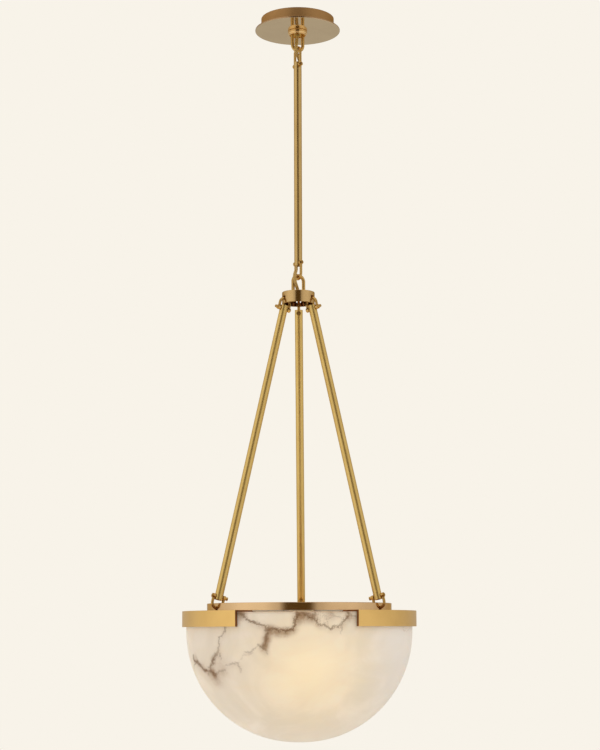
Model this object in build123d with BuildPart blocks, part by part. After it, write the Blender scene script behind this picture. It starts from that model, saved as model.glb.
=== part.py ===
from build123d import *
import os
from math import cos, radians, sin, sqrt

# Alabaster bowl pendant: a ceiling canopy, a stem hung on wire shackles, a hub cup, three rods and a
# stone bowl held by brass clasps under a carrier ring. Millimetres, +Z up, the origin is on the
# ceiling at the centre of the canopy, and the front of the lamp faces -Y.

# Ceiling fixing
screw_spacing = 88.9
slot_length = 10.0
slot_width = 4.8
crossbar_end = 2.0
crossbar_width = 16.0
crossbar_thickness = 2.5
nipple_diameter = 10.0
nipple_bore = 6.6
nipple_engagement = 3.4
thin_nut_flats = 14.0
thin_nut_height = 3.5
ground_screw_diameter = 3.5
ground_screw_head = 7.0
ground_screw_head_height = 2.4
ground_screw_offset = 24.0

# Canopy
canopy_drop = 18.8
canopy_diameter = 127.0
canopy_plate = 2.0
canopy_edge = 0.5
cup_diameter = 109.0
cup_wall = 1.5
cup_corner = 3.0
canopy_hole_clearance = 0.4
collar_diameter = 29.0
collar_height = 6.4
collar_lip = 1.6
collar_step = 1.4
collar_round = 1.2
loop_base_margin = 0.75
loop_base_recess = 1.0

# Wire loops on the canopy and on the hub
loop_wire = 5.0
loop_pitch = 17.5
canopy_loop_drop = 30.1
lead_hole = 6.6

# Stem and the shackles at its two ends
stem_diameter = 11.7
stem_bore = 9.0
stem_pin_span = 302.4
stem_overhang = 4.3
stem_pin_azimuth = -60.0
top_shackle_reach = 25.3
bottom_shackle_reach = 21.7
shackle_wire = 4.0
shackle_eye = 6.6
shackle_side_gap = 0.3
pin_diameter = 3.0
stem_pin_head = 4.4
stem_pin_head_length = 1.8
upper_pin_head = 5.6
upper_pin_head_tip = 3.6
upper_pin_head_length = 4.6
lower_pin_head = 3.8
lower_pin_head_tip = 5.4
lower_pin_head_length = 3.8
pin_tail = 4.2
pin_tail_length = 0.9
head_crown = 0.6

# Hub cup
hub_loop_height = 25.0
hub_diameter = 48.0
hub_height = 17.2
hub_wall = 3.0
hub_top = 3.0
hub_edge = 1.0
hub_bridge = 4.5
link_hole = 8.0
loop_nut_flats = 8.0
loop_nut_height = 4.0
loop_thread_end = 1.5

# Rods and their shackles
rod_names = ("right", "back", "left")
rod_first_azimuth = -30.0
rod_diameter = 11.7
rod_bore = 9.0
rod_pin_span = 432.15
rod_overhang = 4.3
rod_shackle_reach = 14.25

# Carrier ring and clasps
ring_diameter = 264.6
ring_wall = 3.5
ring_height = 10.7
ring_edge = 0.5
ring_bridge = 4.5
clasp_arc = 60.0
clasp_wall = 4.8
clasp_height = 22.3
clasp_flange = 2.0
clasp_lip = 3.8
clasp_tab_width = 22.0
clasp_edge = 0.5

# Bowl, its liners and its fixing screws
bowl_diameter = 323.4
bowl_depth = 181.7
bowl_wall = 12.0
bowl_flat_diameter = 9.4
bowl_rim_edge = 1.0
liner_side = 1.2
liner_top = 0.6
bowl_screw_spread = 18.0
bowl_screw_drop = 12.2
bowl_screw_diameter = 4.0
bowl_screw_head = 8.0
bowl_screw_head_height = 2.6
bowl_screw_engagement = 3.6
bowl_hole = 6.5
washer_diameter = 18.0
washer_thickness = 1.5
pad_thickness = 2.0

# Socket spider, lampholders and bulbs
spider_thickness = 2.0
spider_hub_diameter = 64.0
spider_arm_width = 18.0
spider_screw_inset = 17.8
spider_screw_diameter = 4.0
spider_screw_head = 8.0
spider_screw_head_height = 2.6
spider_nut_flats = 7.0
spider_nut_height = 3.2
lamp_count = 3
lamp_first_azimuth = -84.0
lamp_circle_diameter = 110.0
lamp_lobe_diameter = 34.0
lampholder_diameter = 27.0
lampholder_height = 40.0
lampholder_rim = 2.0
lampholder_bore = 14.0
lampholder_bore_depth = 25.0
lamp_stud_diameter = 10.0
lamp_stud_bore = 6.6
lamp_contact_floor = 3.0
bulb_base_diameter = 12.0
bulb_base_tip = 5.0
bulb_base_tip_height = 1.5
bulb_neck_diameter = 15.0
bulb_diameter = 35.0
bulb_glass_length = 78.0
bulb_belly_drop = 30.0
bulb_seat_gap = 0.3

# Fits
link_gap = 0.3
ring_hang_gap = 0.6
run_gap = 0.05
seat_gap = 0.05
stone_gap = 0.4

# Levels and places worked out from the sizes above
rod_azimuths = {name: rod_first_azimuth + 360 * n / len(rod_names) for n, name in enumerate(rod_names)}
stem_shackle_pitch = stem_diameter + 2 * shackle_side_gap + shackle_wire
rod_shackle_pitch = rod_diameter + 2 * shackle_side_gap + shackle_wire
rod_bend_inside = rod_shackle_pitch / 2 - shackle_wire / 2

loop_base_diameter = loop_pitch + loop_wire + 2 * loop_base_margin
canopy_bottom_z = -canopy_drop
canopy_loop_z = canopy_bottom_z - canopy_loop_drop
stem_top_pin_z = canopy_loop_z + loop_wire / 2 + link_gap - top_shackle_reach
stem_bottom_pin_z = stem_top_pin_z - stem_pin_span
hub_loop_z = stem_bottom_pin_z - bottom_shackle_reach + link_gap + loop_wire / 2
hub_top_z = hub_loop_z - hub_loop_height
hub_bottom_z = hub_top_z - hub_height


def hang_rise(wall, gap):
    """How far the inside of a bend stands off the edge of a wall so that the wall's corners keep the gap."""
    return rod_bend_inside - sqrt((rod_bend_inside - gap) ** 2 - (wall / 2) ** 2)


# The bend centres of a rod's two shackles lie on the rod's own line, over the middle of each wall.
hub_bend_r = hub_diameter / 2 - hub_wall / 2
hub_bend_z = hub_bottom_z + hub_bridge + hang_rise(hub_wall, link_gap) - rod_bend_inside
ring_bend_r = ring_diameter / 2 - ring_wall / 2
rod_leg = rod_shackle_reach - rod_bend_inside
bend_span = rod_pin_span + 2 * rod_leg
bend_drop = sqrt(bend_span**2 - (ring_bend_r - hub_bend_r) ** 2)
lean_sin = (ring_bend_r - hub_bend_r) / bend_span
lean_cos = bend_drop / bend_span
ring_bend_z = hub_bend_z - bend_drop
ring_top_z = ring_bend_z - rod_bend_inside + hang_rise(ring_wall, ring_hang_gap) + ring_bridge
ring_bottom_z = ring_top_z - ring_height

flange_bottom_z = ring_bottom_z - clasp_flange
rim_z = flange_bottom_z - liner_top
clasp_bottom_z = ring_bottom_z - clasp_height
bowl_bottom_z = rim_z - bowl_depth
clasp_inside_r = bowl_diameter / 2 + liner_side
clasp_outside_r = clasp_inside_r + clasp_wall
clasp_lip_r = ring_diameter / 2 - ring_wall - clasp_lip
bowl_inside_r = bowl_diameter / 2 - bowl_wall
bowl_screw_z = ring_bottom_z - bowl_screw_drop
spider_top_z = ring_bottom_z + spider_thickness
spider_screw_r = ring_diameter / 2 - ring_wall - spider_screw_inset
lampholder_bottom_z = ring_bottom_z - lampholder_height
bulb_tip_z = lampholder_bottom_z + lampholder_bore_depth - bulb_seat_gap


def radial(azimuth):
    """Unit vector that points away from the lamp's axis."""
    return Vector(cos(radians(azimuth)), sin(radians(azimuth)), 0)


def section_plane(azimuth):
    """Upright plane through the axis: X is the radius, Y is the height."""
    outward = radial(azimuth)
    return Plane(origin=(0, 0, 0), x_dir=outward, z_dir=outward.cross(Vector(0, 0, 1)))


def drill_plane(azimuth, radius, height):
    """Plane whose Z points outward along a radius, for holes and screws in a wall."""
    outward = radial(azimuth)
    return Plane(origin=outward * radius + Vector(0, 0, height), z_dir=outward)


def link_plane(pin_point, pin_direction, towards_bend):
    """Plane of a shackle: X runs along its pin, Y from the pin towards its bend."""
    return Plane(origin=pin_point, x_dir=pin_direction, z_dir=pin_direction.cross(towards_bend))


def rod_line(azimuth):
    """Direction down a rod, and the direction of its pins, which is square to it and points outward."""
    outward = radial(azimuth)
    up = Vector(0, 0, 1)
    return outward * lean_sin - up * lean_cos, outward * lean_cos + up * lean_sin


def upper_pin_point(azimuth):
    """Centre of the pin at the top of a rod."""
    down, across = rod_line(azimuth)
    return radial(azimuth) * hub_bend_r + Vector(0, 0, hub_bend_z) + down * rod_leg


def lower_pin_point(azimuth):
    """Centre of the pin at the bottom of a rod."""
    down, across = rod_line(azimuth)
    return radial(azimuth) * ring_bend_r + Vector(0, 0, ring_bend_z) - down * rod_leg


def make_shackle(pin_plane, pitch, reach):
    """U of round wire with a flat eye at the end of each leg, drilled for the pin."""
    bend_height = reach + shackle_wire / 2 - pitch / 2
    with BuildPart() as shackle:
        with BuildLine(pin_plane) as centre_line:
            Line((-pitch / 2, 0), (-pitch / 2, bend_height))
            ThreePointArc((-pitch / 2, bend_height), (0, bend_height + pitch / 2), (pitch / 2, bend_height))
            Line((pitch / 2, bend_height), (pitch / 2, 0))
        with BuildSketch(Plane(centre_line.line @ 0, z_dir=centre_line.line % 0)):
            Circle(shackle_wire / 2)
        sweep()
        across = Plane(pin_plane.origin, x_dir=pin_plane.y_dir, z_dir=pin_plane.x_dir)
        for side in (-1, 1):
            with BuildSketch(across.offset(side * pitch / 2)):
                Circle(shackle_eye / 2)
            extrude(amount=shackle_wire / 2, both=True)
        with BuildSketch(across):
            Circle(pin_diameter / 2 + run_gap)
        extrude(amount=pitch, both=True, mode=Mode.SUBTRACT)
    return shackle.part


def make_pin(pin_plane, pitch, head, head_tip, head_length):
    """Turned pin along X with a tapered, crowned head at the far end and a peened tail at the near end."""
    seat = pitch / 2 + shackle_wire / 2 + seat_gap
    tail_end = seat + pin_tail_length
    head_end = seat + head_length
    crown_radius = ((head_tip / 2) ** 2 + head_crown**2) / (2 * head_crown)
    with BuildPart() as pin:
        with BuildSketch(pin_plane):
            with BuildLine():
                Polyline(
                    (head_end, 0),
                    (-tail_end, 0),
                    (-tail_end, pin_tail / 2),
                    (-seat, pin_tail / 2),
                    (-seat, pin_diameter / 2),
                    (seat, pin_diameter / 2),
                    (seat, head / 2),
                    (head_end - head_crown, head_tip / 2),
                )
                RadiusArc((head_end - head_crown, head_tip / 2), (head_end, 0), crown_radius)
            make_face()
        revolve(axis=Axis(pin_plane.origin, pin_plane.x_dir))
    return pin.part


def make_tube(start, end, outside, bore, overhang, pin_direction):
    """Round tube on the line between two pins, cut square past each pin and drilled across for them."""
    along = (end - start).normalized()
    with BuildPart() as tube:
        with BuildSketch(Plane(origin=start - along * overhang, z_dir=along)):
            Circle(outside / 2)
            Circle(bore / 2, mode=Mode.SUBTRACT)
        extrude(amount=(end - start).length + 2 * overhang)
        for pin_point in (start, end):
            with BuildSketch(Plane(origin=pin_point, z_dir=pin_direction)):
                Circle(pin_diameter / 2 + run_gap)
            extrude(amount=outside, both=True, mode=Mode.SUBTRACT)
    return tube.part


def save(piece, name):
    """Labels a finished piece and writes it under its own name."""
    piece.label = name
    export_step(piece, f"parts/{name}.step")


os.makedirs("parts", exist_ok=True)

# Ceiling crossbar: flat steel strap with a slot for each outlet box screw and a tapped centre hole.
crossbar_length = screw_spacing + slot_length + 2 * crossbar_end
with BuildPart() as ceiling_crossbar:
    with BuildSketch(Plane.XY.offset(-crossbar_thickness)):
        RectangleRounded(crossbar_length, crossbar_width, crossbar_end)
        with Locations((-screw_spacing / 2, 0), (screw_spacing / 2, 0)):
            SlotOverall(slot_length, slot_width, mode=Mode.SUBTRACT)
        Circle(nipple_diameter / 2 + seat_gap, mode=Mode.SUBTRACT)
        with Locations((-ground_screw_offset, 0)):
            Circle(ground_screw_diameter / 2 + seat_gap, mode=Mode.SUBTRACT)
    extrude(amount=crossbar_thickness)
save(ceiling_crossbar.part, "ceiling_crossbar")

# Ground screw: pan head screw driven up into the crossbar from below.
with BuildPart() as ground_screw:
    with BuildSketch(Plane.XY.offset(-crossbar_thickness - ground_screw_head_height)):
        with Locations((-ground_screw_offset, 0)):
            Circle(ground_screw_head / 2)
    extrude(amount=ground_screw_head_height)
    fillet(ground_screw.faces().sort_by(Axis.Z)[0].edges(), ground_screw_head_height / 3)
    with BuildSketch(Plane.XY.offset(-crossbar_thickness)):
        with Locations((-ground_screw_offset, 0)):
            Circle(ground_screw_diameter / 2)
    extrude(amount=crossbar_thickness)
save(ground_screw.part, "ground_screw")

# Nipple: hollow threaded tube that hangs the canopy loop from the crossbar and lets the lead through.
nipple_length = canopy_drop + nipple_engagement
with BuildPart() as crossbar_nipple:
    with BuildSketch(Plane.XY.offset(-nipple_length)):
        Circle(nipple_diameter / 2)
        Circle(nipple_bore / 2, mode=Mode.SUBTRACT)
    extrude(amount=nipple_length)
save(crossbar_nipple.part, "crossbar_nipple")

# Locknut: thin hexagon nut that jams the nipple under the crossbar.
with BuildPart() as nipple_locknut:
    with BuildSketch(Plane.XY.offset(-crossbar_thickness - thin_nut_height)):
        RegularPolygon(thin_nut_flats / 2, 6, major_radius=False)
        Circle(nipple_diameter / 2 + seat_gap, mode=Mode.SUBTRACT)
    extrude(amount=thin_nut_height)
save(nipple_locknut.part, "nipple_locknut")

# Canopy cup: spun pan that hides the outlet box, open against the ceiling.
cup_bottom_z = canopy_bottom_z + canopy_plate
with BuildPart() as canopy_cup:
    with BuildSketch(Plane.XY.offset(cup_bottom_z)):
        Circle(cup_diameter / 2)
    extrude(amount=-cup_bottom_z)
    fillet(canopy_cup.faces().sort_by(Axis.Z)[0].edges(), cup_corner)
    offset(amount=-cup_wall, openings=canopy_cup.faces().sort_by(Axis.Z)[-1])
    with BuildSketch(Plane.XY.offset(cup_bottom_z)):
        Circle(nipple_diameter / 2 + canopy_hole_clearance)
    extrude(amount=cup_wall, mode=Mode.SUBTRACT)
save(canopy_cup.part, "canopy_cup")

# Canopy disc: flat brass plate under the cup, wider than it, with softened edges.
with BuildPart() as canopy_disc:
    with BuildSketch(Plane.XY.offset(canopy_bottom_z)):
        Circle(canopy_diameter / 2)
        Circle(nipple_diameter / 2 + canopy_hole_clearance, mode=Mode.SUBTRACT)
    extrude(amount=canopy_plate)
    fillet(canopy_disc.edges().filter_by(GeomType.CIRCLE).sort_by(SortBy.RADIUS)[-2:], canopy_edge)
save(canopy_disc.part, "canopy_disc")

# Canopy loop: threaded base that screws onto the nipple, with a round wire loop hanging from it.
loop_base_height = collar_height - loop_base_recess
loop_base_bottom_z = canopy_bottom_z - loop_base_height
loop_axis = radial(stem_pin_azimuth + 90)
canopy_loop_plane = Plane((0, 0, canopy_loop_z), x_dir=loop_axis, z_dir=loop_axis.cross(Vector(0, 0, 1)))
canopy_leg_top = loop_base_bottom_z + loop_base_height / 2 - canopy_loop_z
with BuildPart() as canopy_loop:
    with BuildSketch(Plane.XY.offset(loop_base_bottom_z)):
        Circle(loop_base_diameter / 2)
    extrude(amount=loop_base_height)
    with BuildLine(canopy_loop_plane) as canopy_loop_wire:
        Line((-loop_pitch / 2, canopy_leg_top), (-loop_pitch / 2, loop_pitch / 2))
        ThreePointArc((-loop_pitch / 2, loop_pitch / 2), (0, 0), (loop_pitch / 2, loop_pitch / 2))
        Line((loop_pitch / 2, loop_pitch / 2), (loop_pitch / 2, canopy_leg_top))
    with BuildSketch(Plane(canopy_loop_wire.line @ 0, z_dir=canopy_loop_wire.line % 0)):
        Circle(loop_wire / 2)
    sweep()
    with BuildSketch(Plane.XY.offset(canopy_bottom_z - nipple_engagement)):
        Circle(nipple_diameter / 2 + seat_gap)
    extrude(amount=nipple_engagement, mode=Mode.SUBTRACT)
    with BuildSketch(Plane.XY.offset(loop_base_bottom_z)):
        Circle(lead_hole / 2)
    extrude(amount=loop_base_height, mode=Mode.SUBTRACT)
save(canopy_loop.part, "canopy_loop")

# Canopy collar: ring nut around the loop's base that presses the disc up, a rounded band with a step below.
with BuildPart() as canopy_collar:
    with BuildSketch(section_plane(0)):
        with BuildLine():
            Polyline(
                (loop_base_diameter / 2 + seat_gap, canopy_bottom_z),
                (collar_diameter / 2, canopy_bottom_z),
                (collar_diameter / 2, canopy_bottom_z - collar_height + collar_lip),
                (collar_diameter / 2 - collar_step, canopy_bottom_z - collar_height + collar_lip),
                (collar_diameter / 2 - collar_step, canopy_bottom_z - collar_height),
                (loop_base_diameter / 2 + seat_gap, canopy_bottom_z - collar_height),
                close=True,
            )
        make_face()
    revolve(axis=Axis.Z)
    fillet(canopy_collar.edges().filter_by(GeomType.CIRCLE).group_by(SortBy.RADIUS)[-1], collar_round)
    fillet(canopy_collar.edges().filter_by(GeomType.CIRCLE).group_by(Axis.Z)[0][-1], collar_step / 2)
save(canopy_collar.part, "canopy_collar")

# Stem shackles, their pins and the stem tube between them.
stem_pin_axis = radial(stem_pin_azimuth)
up = Vector(0, 0, 1)
stem_top = Vector(0, 0, stem_top_pin_z)
stem_bottom = Vector(0, 0, stem_bottom_pin_z)
for place, pin_point, towards_bend, reach in (
    ("top", stem_top, up, top_shackle_reach),
    ("bottom", stem_bottom, -up, bottom_shackle_reach),
):
    plane = link_plane(pin_point, stem_pin_axis, towards_bend)
    pin = make_pin(plane, stem_shackle_pitch, stem_pin_head, stem_pin_head, stem_pin_head_length)
    save(make_shackle(plane, stem_shackle_pitch, reach), f"{place}_shackle")
    save(pin, f"{place}_shackle_pin")
save(make_tube(stem_top, stem_bottom, stem_diameter, stem_bore, stem_overhang, stem_pin_axis), "stem_tube")

# Hub cup: turned cup, open below, with a drilled hole in its wall for each rod's shackle.
with BuildPart() as hub_cup:
    with BuildSketch(Plane.XY.offset(hub_bottom_z)):
        Circle(hub_diameter / 2)
    extrude(amount=hub_height)
    fillet(hub_cup.faces().sort_by(Axis.Z)[-1].edges(), hub_edge)
    with BuildSketch(Plane.XY.offset(hub_bottom_z)):
        Circle(hub_diameter / 2 - hub_wall)
    extrude(amount=hub_height - hub_top, mode=Mode.SUBTRACT)
    for azimuth in rod_azimuths.values():
        with BuildSketch(drill_plane(azimuth, 0, hub_bottom_z + hub_bridge + link_hole / 2)):
            Circle(link_hole / 2)
        extrude(amount=hub_diameter, mode=Mode.SUBTRACT)
    with BuildSketch(Plane.XY.offset(hub_top_z - hub_top)):
        Circle(lead_hole / 2)
        for side in (-1, 1):
            with Locations(loop_axis * (side * loop_pitch / 2)):
                Circle(loop_wire / 2 + seat_gap)
    extrude(amount=hub_top, mode=Mode.SUBTRACT)
save(hub_cup.part, "hub_cup")

# Hub loop: wire bent to a bolt with two legs that go through the top of the cup.
hub_loop_plane = Plane((0, 0, hub_loop_z), x_dir=loop_axis, z_dir=loop_axis.cross(-up))
hub_leg_end = hub_loop_height + hub_top + loop_nut_height + loop_thread_end
with BuildPart() as hub_loop:
    with BuildLine(hub_loop_plane) as hub_loop_wire:
        Line((-loop_pitch / 2, hub_leg_end), (-loop_pitch / 2, loop_pitch / 2))
        ThreePointArc((-loop_pitch / 2, loop_pitch / 2), (0, 0), (loop_pitch / 2, loop_pitch / 2))
        Line((loop_pitch / 2, loop_pitch / 2), (loop_pitch / 2, hub_leg_end))
    with BuildSketch(Plane(hub_loop_wire.line @ 0, z_dir=hub_loop_wire.line % 0)):
        Circle(loop_wire / 2)
    sweep()
save(hub_loop.part, "hub_loop")

# Hub loop nuts: one on each leg, tight against the inside of the cup's top.
with BuildPart() as hub_loop_nuts:
    with BuildSketch(Plane.XY.offset(hub_top_z - hub_top - loop_nut_height)):
        for side in (-1, 1):
            with Locations(loop_axis * (side * loop_pitch / 2)):
                RegularPolygon(loop_nut_flats / 2, 6, major_radius=False)
                Circle(loop_wire / 2 + seat_gap, mode=Mode.SUBTRACT)
    extrude(amount=loop_nut_height)
save(hub_loop_nuts.part, "hub_loop_nuts")

# Rods with the shackle and pin at each end: the pins' heads face outward above and inward below.
for place, azimuth in rod_azimuths.items():
    down, across = rod_line(azimuth)
    rod_top = upper_pin_point(azimuth)
    rod_bottom = lower_pin_point(azimuth)
    upper_plane = link_plane(rod_top, across, -down)
    lower_plane = link_plane(rod_bottom, -across, down)
    upper_pin = make_pin(
        upper_plane, rod_shackle_pitch, upper_pin_head, upper_pin_head_tip, upper_pin_head_length
    )
    lower_pin = make_pin(
        lower_plane, rod_shackle_pitch, lower_pin_head, lower_pin_head_tip, lower_pin_head_length
    )
    save(make_shackle(upper_plane, rod_shackle_pitch, rod_shackle_reach), f"upper_shackle_{place}")
    save(upper_pin, f"upper_pin_{place}")
    save(make_tube(rod_top, rod_bottom, rod_diameter, rod_bore, rod_overhang, across), f"rod_{place}")
    save(make_shackle(lower_plane, rod_shackle_pitch, rod_shackle_reach), f"lower_shackle_{place}")
    save(lower_pin, f"lower_pin_{place}")

# Carrier ring: rolled flat bar on edge, drilled under its top edge for the lower shackles.
with BuildPart() as carrier_ring:
    with BuildSketch(Plane.XY.offset(ring_bottom_z)):
        Circle(ring_diameter / 2)
        Circle(ring_diameter / 2 - ring_wall, mode=Mode.SUBTRACT)
    extrude(amount=ring_height)
    fillet(carrier_ring.faces().sort_by(Axis.Z)[-1].edges(), ring_edge)
    for azimuth in rod_azimuths.values():
        with BuildSketch(drill_plane(azimuth, ring_bend_r - ring_wall, ring_top_z - ring_bridge - link_hole / 2)):
            Circle(link_hole / 2)
        extrude(amount=2 * ring_wall, mode=Mode.SUBTRACT)
save(carrier_ring.part, "carrier_ring")

# Clasps and their liners: three angle-section arcs brazed under the ring, lined with soft strip.
# A tab in the middle of each flange reaches inward and carries an arm of the socket spider.
tab_inner_r = spider_screw_r - clasp_tab_width / 2
tab_outer_r = clasp_lip_r + clasp_tab_width
tab_length = tab_outer_r - tab_inner_r
tab_middle_r = (tab_outer_r + tab_inner_r) / 2
for place, azimuth in rod_azimuths.items():
    start_plane = section_plane(azimuth - clasp_arc / 2)
    screw_azimuths = (azimuth - bowl_screw_spread, azimuth + bowl_screw_spread)
    with BuildPart() as clasp:
        with BuildSketch(start_plane):
            with BuildLine():
                Polyline(
                    (clasp_lip_r, ring_bottom_z),
                    (clasp_outside_r, ring_bottom_z),
                    (clasp_outside_r, clasp_bottom_z),
                    (clasp_inside_r, clasp_bottom_z),
                    (clasp_inside_r, flange_bottom_z),
                    (clasp_lip_r, flange_bottom_z),
                    close=True,
                )
            outline = make_face()
            fillet(outline.vertices().group_by(Axis.X)[-1], clasp_edge)
        revolve(axis=Axis.Z, revolution_arc=clasp_arc)
        for screw_azimuth in screw_azimuths:
            with BuildSketch(drill_plane(screw_azimuth, clasp_inside_r - liner_side, bowl_screw_z)):
                Circle(bowl_screw_diameter / 2 + seat_gap)
            extrude(amount=liner_side + bowl_screw_engagement + seat_gap, mode=Mode.SUBTRACT)
        with BuildSketch(Plane.XY.offset(flange_bottom_z)):
            with Locations(Location(radial(azimuth) * tab_middle_r, (0, 0, azimuth))):
                SlotOverall(tab_length, clasp_tab_width)
        extrude(amount=clasp_flange)
        with BuildSketch(Plane.XY.offset(flange_bottom_z)):
            with Locations(radial(azimuth) * spider_screw_r):
                Circle(spider_screw_diameter / 2 + seat_gap)
        extrude(amount=clasp_flange, mode=Mode.SUBTRACT)
    save(clasp.part, f"clasp_{place}")
    with BuildPart() as clasp_liner:
        with BuildSketch(start_plane):
            with BuildLine():
                Polyline(
                    (bowl_inside_r, flange_bottom_z),
                    (clasp_inside_r - seat_gap, flange_bottom_z),
                    (clasp_inside_r - seat_gap, clasp_bottom_z),
                    (bowl_diameter / 2 + stone_gap, clasp_bottom_z),
                    (bowl_diameter / 2 + stone_gap, rim_z),
                    (bowl_inside_r, rim_z),
                    close=True,
                )
            make_face()
        revolve(axis=Axis.Z, revolution_arc=clasp_arc)
        for screw_azimuth in screw_azimuths:
            with BuildSketch(drill_plane(screw_azimuth, bowl_diameter / 2 - liner_side, bowl_screw_z)):
                Circle(bowl_screw_diameter / 2 + seat_gap)
            extrude(amount=3 * liner_side, mode=Mode.SUBTRACT)
    save(clasp_liner.part, f"clasp_liner_{place}")

# Alabaster bowl: turned from one block, upright at the rim, then one arc down to a small flat centre.
flat_radius = bowl_flat_diameter / 2
bowl_corner_radius = bowl_diameter / 2 - flat_radius
bowl_arc_z = bowl_bottom_z + bowl_corner_radius
inner_corner_radius = bowl_corner_radius - bowl_wall
bowl_screw_azimuths = [
    azimuth + side * bowl_screw_spread for azimuth in rod_azimuths.values() for side in (-1, 1)
]
with BuildPart() as alabaster_bowl:
    with BuildSketch(section_plane(0)):
        with BuildLine():
            Line((0, bowl_bottom_z), (flat_radius, bowl_bottom_z))
            RadiusArc((flat_radius, bowl_bottom_z), (bowl_diameter / 2, bowl_arc_z), -bowl_corner_radius)
            Polyline(
                (bowl_diameter / 2, bowl_arc_z),
                (bowl_diameter / 2, rim_z),
                (bowl_inside_r, rim_z),
                (bowl_inside_r, bowl_arc_z),
            )
            RadiusArc((bowl_inside_r, bowl_arc_z), (flat_radius, bowl_bottom_z + bowl_wall), inner_corner_radius)
            Polyline((flat_radius, bowl_bottom_z + bowl_wall), (0, bowl_bottom_z + bowl_wall), (0, bowl_bottom_z))
        make_face()
    revolve(axis=Axis.Z)
    fillet(alabaster_bowl.faces().sort_by(Axis.Z)[-1].edges(), bowl_rim_edge)
    for screw_azimuth in bowl_screw_azimuths:
        with BuildSketch(drill_plane(screw_azimuth, bowl_inside_r - bowl_wall, bowl_screw_z)):
            Circle(bowl_hole / 2)
        extrude(amount=3 * bowl_wall, mode=Mode.SUBTRACT)
save(alabaster_bowl.part, "alabaster_bowl")

# Bowl screws, washers and pads: each screw goes out through the stone into a blind hole in a clasp.
pad_face_r = sqrt(bowl_inside_r**2 - (washer_diameter / 2) ** 2) - stone_gap
washer_face_r = pad_face_r - pad_thickness
head_face_r = washer_face_r - washer_thickness
with BuildPart() as bowl_pads:
    for screw_azimuth in bowl_screw_azimuths:
        with BuildSketch(drill_plane(screw_azimuth, washer_face_r, bowl_screw_z)):
            Circle(washer_diameter / 2)
            Circle(bowl_screw_diameter / 2 + seat_gap, mode=Mode.SUBTRACT)
        extrude(amount=pad_thickness)
save(bowl_pads.part, "bowl_pads")

with BuildPart() as bowl_washers:
    for screw_azimuth in bowl_screw_azimuths:
        with BuildSketch(drill_plane(screw_azimuth, head_face_r, bowl_screw_z)):
            Circle(washer_diameter / 2)
            Circle(bowl_screw_diameter / 2 + seat_gap, mode=Mode.SUBTRACT)
        extrude(amount=washer_thickness)
save(bowl_washers.part, "bowl_washers")

screw_tip_r = clasp_inside_r + bowl_screw_engagement
with BuildPart() as bowl_screws:
    for screw_azimuth in bowl_screw_azimuths:
        with BuildSketch(drill_plane(screw_azimuth, head_face_r - bowl_screw_head_height, bowl_screw_z)):
            Circle(bowl_screw_head / 2)
        extrude(amount=bowl_screw_head_height)
        with BuildSketch(drill_plane(screw_azimuth, head_face_r, bowl_screw_z)):
            Circle(bowl_screw_diameter / 2)
        extrude(amount=screw_tip_r - head_face_r)
save(bowl_screws.part, "bowl_screws")

# Socket spider: pressed plate with three long arms to the clasps and three lobes for the lampholders.
lamp_azimuths = [lamp_first_azimuth + 360 * n / lamp_count for n in range(lamp_count)]
lamp_places = [radial(azimuth) * (lamp_circle_diameter / 2) for azimuth in lamp_azimuths]
spider_screw_places = [radial(azimuth) * spider_screw_r for azimuth in rod_azimuths.values()]
with BuildPart() as socket_spider:
    with BuildSketch(Plane.XY.offset(ring_bottom_z)):
        Circle(spider_hub_diameter / 2)
        for azimuth in rod_azimuths.values():
            with Locations(Location(radial(azimuth) * (spider_screw_r / 2), (0, 0, azimuth))):
                Rectangle(spider_screw_r, spider_arm_width)
            with Locations(radial(azimuth) * spider_screw_r):
                Circle(spider_arm_width / 2)
        for azimuth, place in zip(lamp_azimuths, lamp_places):
            with Locations(Location(place / 2, (0, 0, azimuth))):
                Rectangle(lamp_circle_diameter / 2, lamp_lobe_diameter)
            with Locations(place):
                Circle(lamp_lobe_diameter / 2)
        with Locations(lamp_places):
            Circle(lamp_stud_diameter / 2 + seat_gap, mode=Mode.SUBTRACT)
        with Locations(spider_screw_places):
            Circle(spider_screw_diameter / 2 + seat_gap, mode=Mode.SUBTRACT)
    extrude(amount=spider_thickness)
save(socket_spider.part, "socket_spider")

# Spider screws and nuts: each arm is bolted through the flange of a clasp.
with BuildPart() as spider_screws:
    with BuildSketch(Plane.XY.offset(flange_bottom_z - spider_nut_height)):
        with Locations(spider_screw_places):
            Circle(spider_screw_diameter / 2)
    extrude(amount=spider_nut_height + clasp_flange + spider_thickness)
    with BuildSketch(Plane.XY.offset(spider_top_z)):
        with Locations(spider_screw_places):
            Circle(spider_screw_head / 2)
    extrude(amount=spider_screw_head_height)
    fillet(spider_screws.faces().group_by(Axis.Z)[-1].edges(), spider_screw_head_height / 3)
save(spider_screws.part, "spider_screws")

with BuildPart() as spider_nuts:
    with BuildSketch(Plane.XY.offset(flange_bottom_z - spider_nut_height)):
        with Locations(spider_screw_places):
            RegularPolygon(spider_nut_flats / 2, 6, major_radius=False)
            Circle(spider_screw_diameter / 2 + seat_gap, mode=Mode.SUBTRACT)
    extrude(amount=spider_nut_height)
save(spider_nuts.part, "spider_nuts")

# Lampholders with their stud through the spider, the nuts on top, and a candle bulb in each.
with BuildPart() as lampholder_nuts:
    with BuildSketch(Plane.XY.offset(spider_top_z)):
        with Locations(lamp_places):
            RegularPolygon(thin_nut_flats / 2, 6, major_radius=False)
            Circle(lamp_stud_diameter / 2 + seat_gap, mode=Mode.SUBTRACT)
    extrude(amount=thin_nut_height)
save(lampholder_nuts.part, "lampholder_nuts")

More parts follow.
